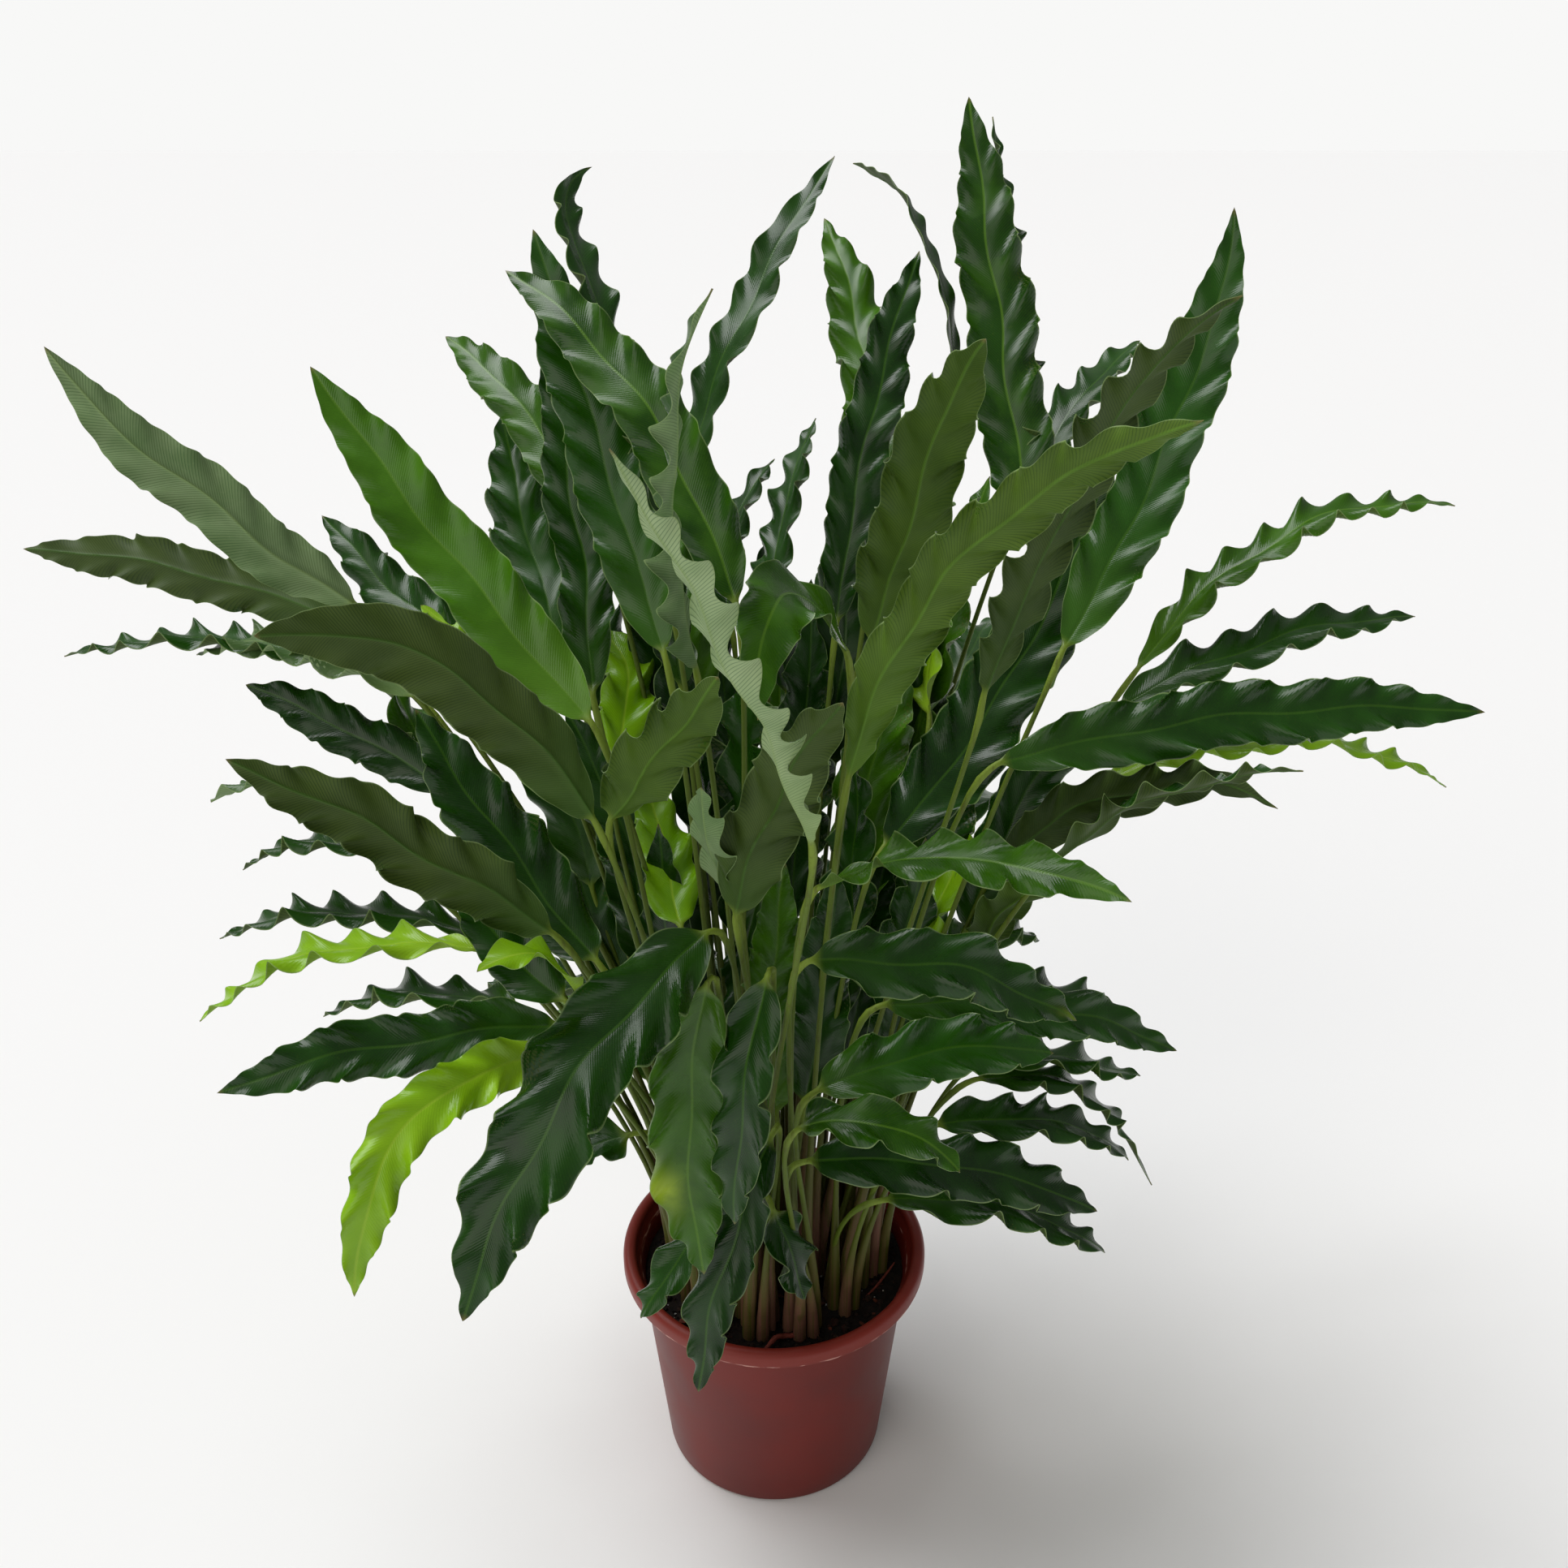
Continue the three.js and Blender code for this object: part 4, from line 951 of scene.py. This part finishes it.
def scatter(name, count, sizes, flatness, seed, reach):
    """Faceted lumps: three rings of six corners at random radii, turned at random and laid on the
    soil. Flatness is thickness over width."""
    rng = np.random.default_rng(seed)
    level = np.array([-LUMP_HALF, 0, LUMP_HALF])[None, :, None]
    ring = np.array([0.55, 1, 0.6])[None, :, None]
    turn = np.linspace(0, 2 * np.pi, LUMP_SIDES, endpoint=False)[None, None]
    shape = (count, LUMP_RINGS, LUMP_SIDES)
    radius = ring * rng.uniform(0.6, 1.2, shape)
    stretch = rng.uniform(0.6, 1.7, (count, 1, 1))
    corners = np.stack([radius * np.cos(turn) * stretch, radius * np.sin(turn),
                        level * rng.uniform(0.8, 1.2, shape)], axis=-1)
    size = sizes[0] + (sizes[1] - sizes[0]) * rng.uniform(0, 1, count) ** 3
    corners *= (size[:, None] * np.array([1, 1, flatness]))[:, None, None]
    spin = rng.uniform(0, 2 * np.pi, count)
    lean = rng.normal(0, 0.5, count)
    tilt = rng.normal(0, 0.5, count)
    none, one = np.zeros(count), np.ones(count)
    c, s = np.cos(spin), np.sin(spin)
    about_z = np.array([[c, -s, none], [s, c, none], [none, none, one]]).transpose(2, 0, 1)
    c, s = np.cos(lean), np.sin(lean)
    about_x = np.array([[one, none, none], [none, c, -s], [none, s, c]]).transpose(2, 0, 1)
    c, s = np.cos(tilt), np.sin(tilt)
    about_y = np.array([[c, none, s], [none, one, none], [-s, none, c]]).transpose(2, 0, 1)
    corners = np.einsum("nij,nrkj->nrki", about_z @ about_x @ about_y, corners)
    away = reach * np.sqrt(rng.uniform(0, 1, count))
    bearing = rng.uniform(0, 2 * np.pi, count)
    x, y = away * np.cos(bearing), away * np.sin(bearing)
    z = SOIL_TOP + ground(x, y) + size * flatness * (LUMP_HALF - LUMP_SUNK)
    points = corners + np.column_stack([x, y, z])[:, None, None]
    per_lump = LUMP_RINGS * LUMP_SIDES
    offsets = per_lump * np.arange(count)[:, None, None]
    quads = (tube_faces(LUMP_RINGS, LUMP_SIDES)[None] + offsets).reshape(-1, 4)
    first = np.arange(LUMP_SIDES)
    caps = [c + per_lump * n for n in range(count) for c in (first[::-1], first + 2 * LUMP_SIDES)]
    shade = np.repeat(rng.uniform(0, 1, count), per_lump)
    mesh = mesh_from(name, points.reshape(-1, 3), quads, caps, {"shade": shade})
    mesh.shade_flat()
    return mesh


def ground_material(name, dark, middle, light, scale, roughness):
    """Crumbly matter: its shade runs from dark to light by lump, broken up by noise."""
    material, tree, output = new_material(name)
    place = put(tree, "TexCoord").outputs["Object"]
    coarse = noise(tree, place, scale, 6.0)
    fine = noise(tree, place, 6 * scale, 3.0)
    shade = put(tree, "Attribute", attribute_name="shade").outputs["Fac"]
    colour = mixed(tree, ramp(tree, coarse, 0.35, 0.65), linear(dark), linear(middle))
    lit = times(tree, ramp(tree, shade, 0.35, 1.0), ramp(tree, fine, 0.3, 0.7))
    colour = mixed(tree, lit, colour, linear(light))
    relief = plus(tree, coarse, times(tree, fine, 0.5))
    surface_of(tree, output, {
        "Base Color": colour,
        "Roughness": roughness,
        "Specular IOR Level": 0.25,
        "Normal": bumps(tree, relief, 0.8, 0.6 * MM),
    })
    return material


peat = ground_material("peat_compost_moist_crumbs", "#0c0806", "#1f1510", "#3a251a", 260.0, 0.85)
bark = ground_material("pine_bark_shredded", "#1b0f0a", "#38190f", "#7a3b26", 500.0, 0.8)
perlite = ground_material("perlite_expanded_grains", "#a9a6a0", "#cfcdc8", "#f2f1ee", 900.0, 0.7)
compost = show(soil_mesh, peat)
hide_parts("soil")
SCATTER_REACH = soil_radius - 4 * MM
SCATTERED = [
    ("peat_crumbs", peat, dict(count=900, sizes=(0.8 * MM, 3.0 * MM), flatness=0.7, seed=11)),
    ("bark_chips", bark, dict(count=260, sizes=(1.2 * MM, 5.0 * MM), flatness=0.35, seed=12)),
    ("perlite_grains", perlite, dict(count=46, sizes=(0.5 * MM, 1.1 * MM), flatness=0.8, seed=13)),
]
for name, material, lump in SCATTERED:
    show(scatter(name, reach=SCATTER_REACH, **lump), material)
print("soil and its lumps are made")


# %% A root and a twig on the soil
STICK_SIDES, STICK_ROWS = 10, 40
STICK_SHADE = 0.8


def stick(name, path, thick, seed):
    """A tube of uneven thickness along a smooth path, thinner at both ends."""
    rows, sides = STICK_ROWS, STICK_SIDES
    rng = np.random.default_rng(seed)
    path = np.array(path, dtype=float) * MM + (0, 0, SOIL_TOP)
    knots = np.concatenate([[0], np.cumsum(np.linalg.norm(np.diff(path, axis=0), axis=1))])
    at = np.linspace(0, knots[-1], rows)
    middle = smooth(knots, path, at)
    way = unit(np.gradient(middle, axis=0))
    side = unit(np.cross(way, (0, 0, 1)))
    up = np.cross(side, way)
    share = at / knots[-1]
    radius = thick / 2 * MM * (0.35 + 0.65 * np.sin(np.pi * np.clip(share, 0.04, 0.96)) ** 0.5)
    radius = radius[:, None] * rng.uniform(0.85, 1.15, (rows, sides))
    turn = np.linspace(0, 2 * np.pi, sides, endpoint=False)
    points = middle[:, None] + side[:, None] * (radius * np.cos(turn))[..., None]
    points = points + up[:, None] * (radius * np.sin(turn))[..., None]
    ends = [np.arange(sides)[::-1], np.arange(sides) + (rows - 1) * sides]
    shade = np.full(rows * sides, STICK_SHADE)
    return mesh_from(name, points.reshape(-1, 3), tube_faces(rows, sides), ends, {"shade": shade})


rust = ground_material("root_bark_rusty", "#4a1f18", "#6e3026", "#96493a", 300.0, 0.75)
curl = [(-8, -84, 2), (-3, -80, 5), (2, -74, 6), (8, -70, 3), (14, -69, 3), (19, -64, 5), (22, -59, 7)]
show(stick("surface_root", curl, thick=3.6, seed=21), rust)
twig = [(63, -33, 1), (70, -26, 3), (77, -17, 5), (84, -8, 8)]
show(stick("fallen_twig", twig, thick=1.8, seed=22), rust)

# %% [markdown]
# ## Camera, light and floor
#
# A wide soft light from above and behind gives the waxy ridges their broad pale sheen, a weaker one
# from the front fills the shade between the stalks, and a pale world lights the undersides.

# %% Camera
CAMERA_PLACE = (6.9 * MM, -822 * MM, 935 * MM)
CAMERA_DOWN = 26.5  # degrees below level
SENSOR, LENS = 36, 35.4
camera = placed("camera", bpy.data.cameras.new("camera"))
camera.location = CAMERA_PLACE
camera.rotation_euler = (math.radians(90 - CAMERA_DOWN), 0, 0)
camera.data.sensor_width = SENSOR
camera.data.lens = LENS
camera.data.clip_start = 0.02
bpy.context.scene.camera = camera
bpy.context.scene.view_settings.view_transform = "Standard"

# %% Floor and light
floor_mesh = bpy.data.meshes.new("floor")
FLOOR_HALF = 12.0
corners = [(-1, -1), (1, -1), (1, 1), (-1, 1)]
floor_mesh.from_pydata([(x * FLOOR_HALF, y * FLOOR_HALF, 0) for x, y in corners], [], [(0, 1, 2, 3)])
floor = placed("floor", floor_mesh)
floor_paper, floor_tree, floor_output = new_material("pale_matte_paper")
surface_of(floor_tree, floor_output, {"Base Color": linear("#f4f4f3"), "Roughness": 0.9})
floor_mesh.materials.append(floor_paper)


def soft_sun(name, tilt, bearing, spread, strength, colour):
    """An even light from the whole sky around one direction. Tilt is the angle from straight up,
    bearing the side it comes from, and spread how wide its soft disc is, all in degrees."""
    light = bpy.data.lights.new(name, "SUN")
    light.angle, light.energy, light.color = math.radians(spread), strength, linear(colour)[:3]
    lamp = placed(name, light)
    lamp.rotation_euler = (math.radians(tilt), 0, math.radians(bearing + 90))


soft_sun("overhead", tilt=28, bearing=150, spread=44, strength=2.5, colour="#fdfdff")
soft_sun("front_fill", tilt=58, bearing=-125, spread=50, strength=0.75, colour="#fffaf2")
world = bpy.data.worlds.new("studio")
bpy.context.scene.world = world
world.use_nodes = True
sky = world.node_tree
sky.nodes.clear()
seen = put(sky, "LightPath").outputs["Is Camera Ray"]
WORLD_LIGHT, WORLD_SEEN = 0.25, 1.0
strength = put(sky, "Mix", {0: seen, 2: WORLD_LIGHT, 3: WORLD_SEEN}).outputs[0]
backdrop = put(sky, "Background", {"Color": linear("#f8f8f7"), "Strength": strength})
sky.links.new(backdrop.outputs[0], put(sky, "OutputWorld").inputs["Surface"])
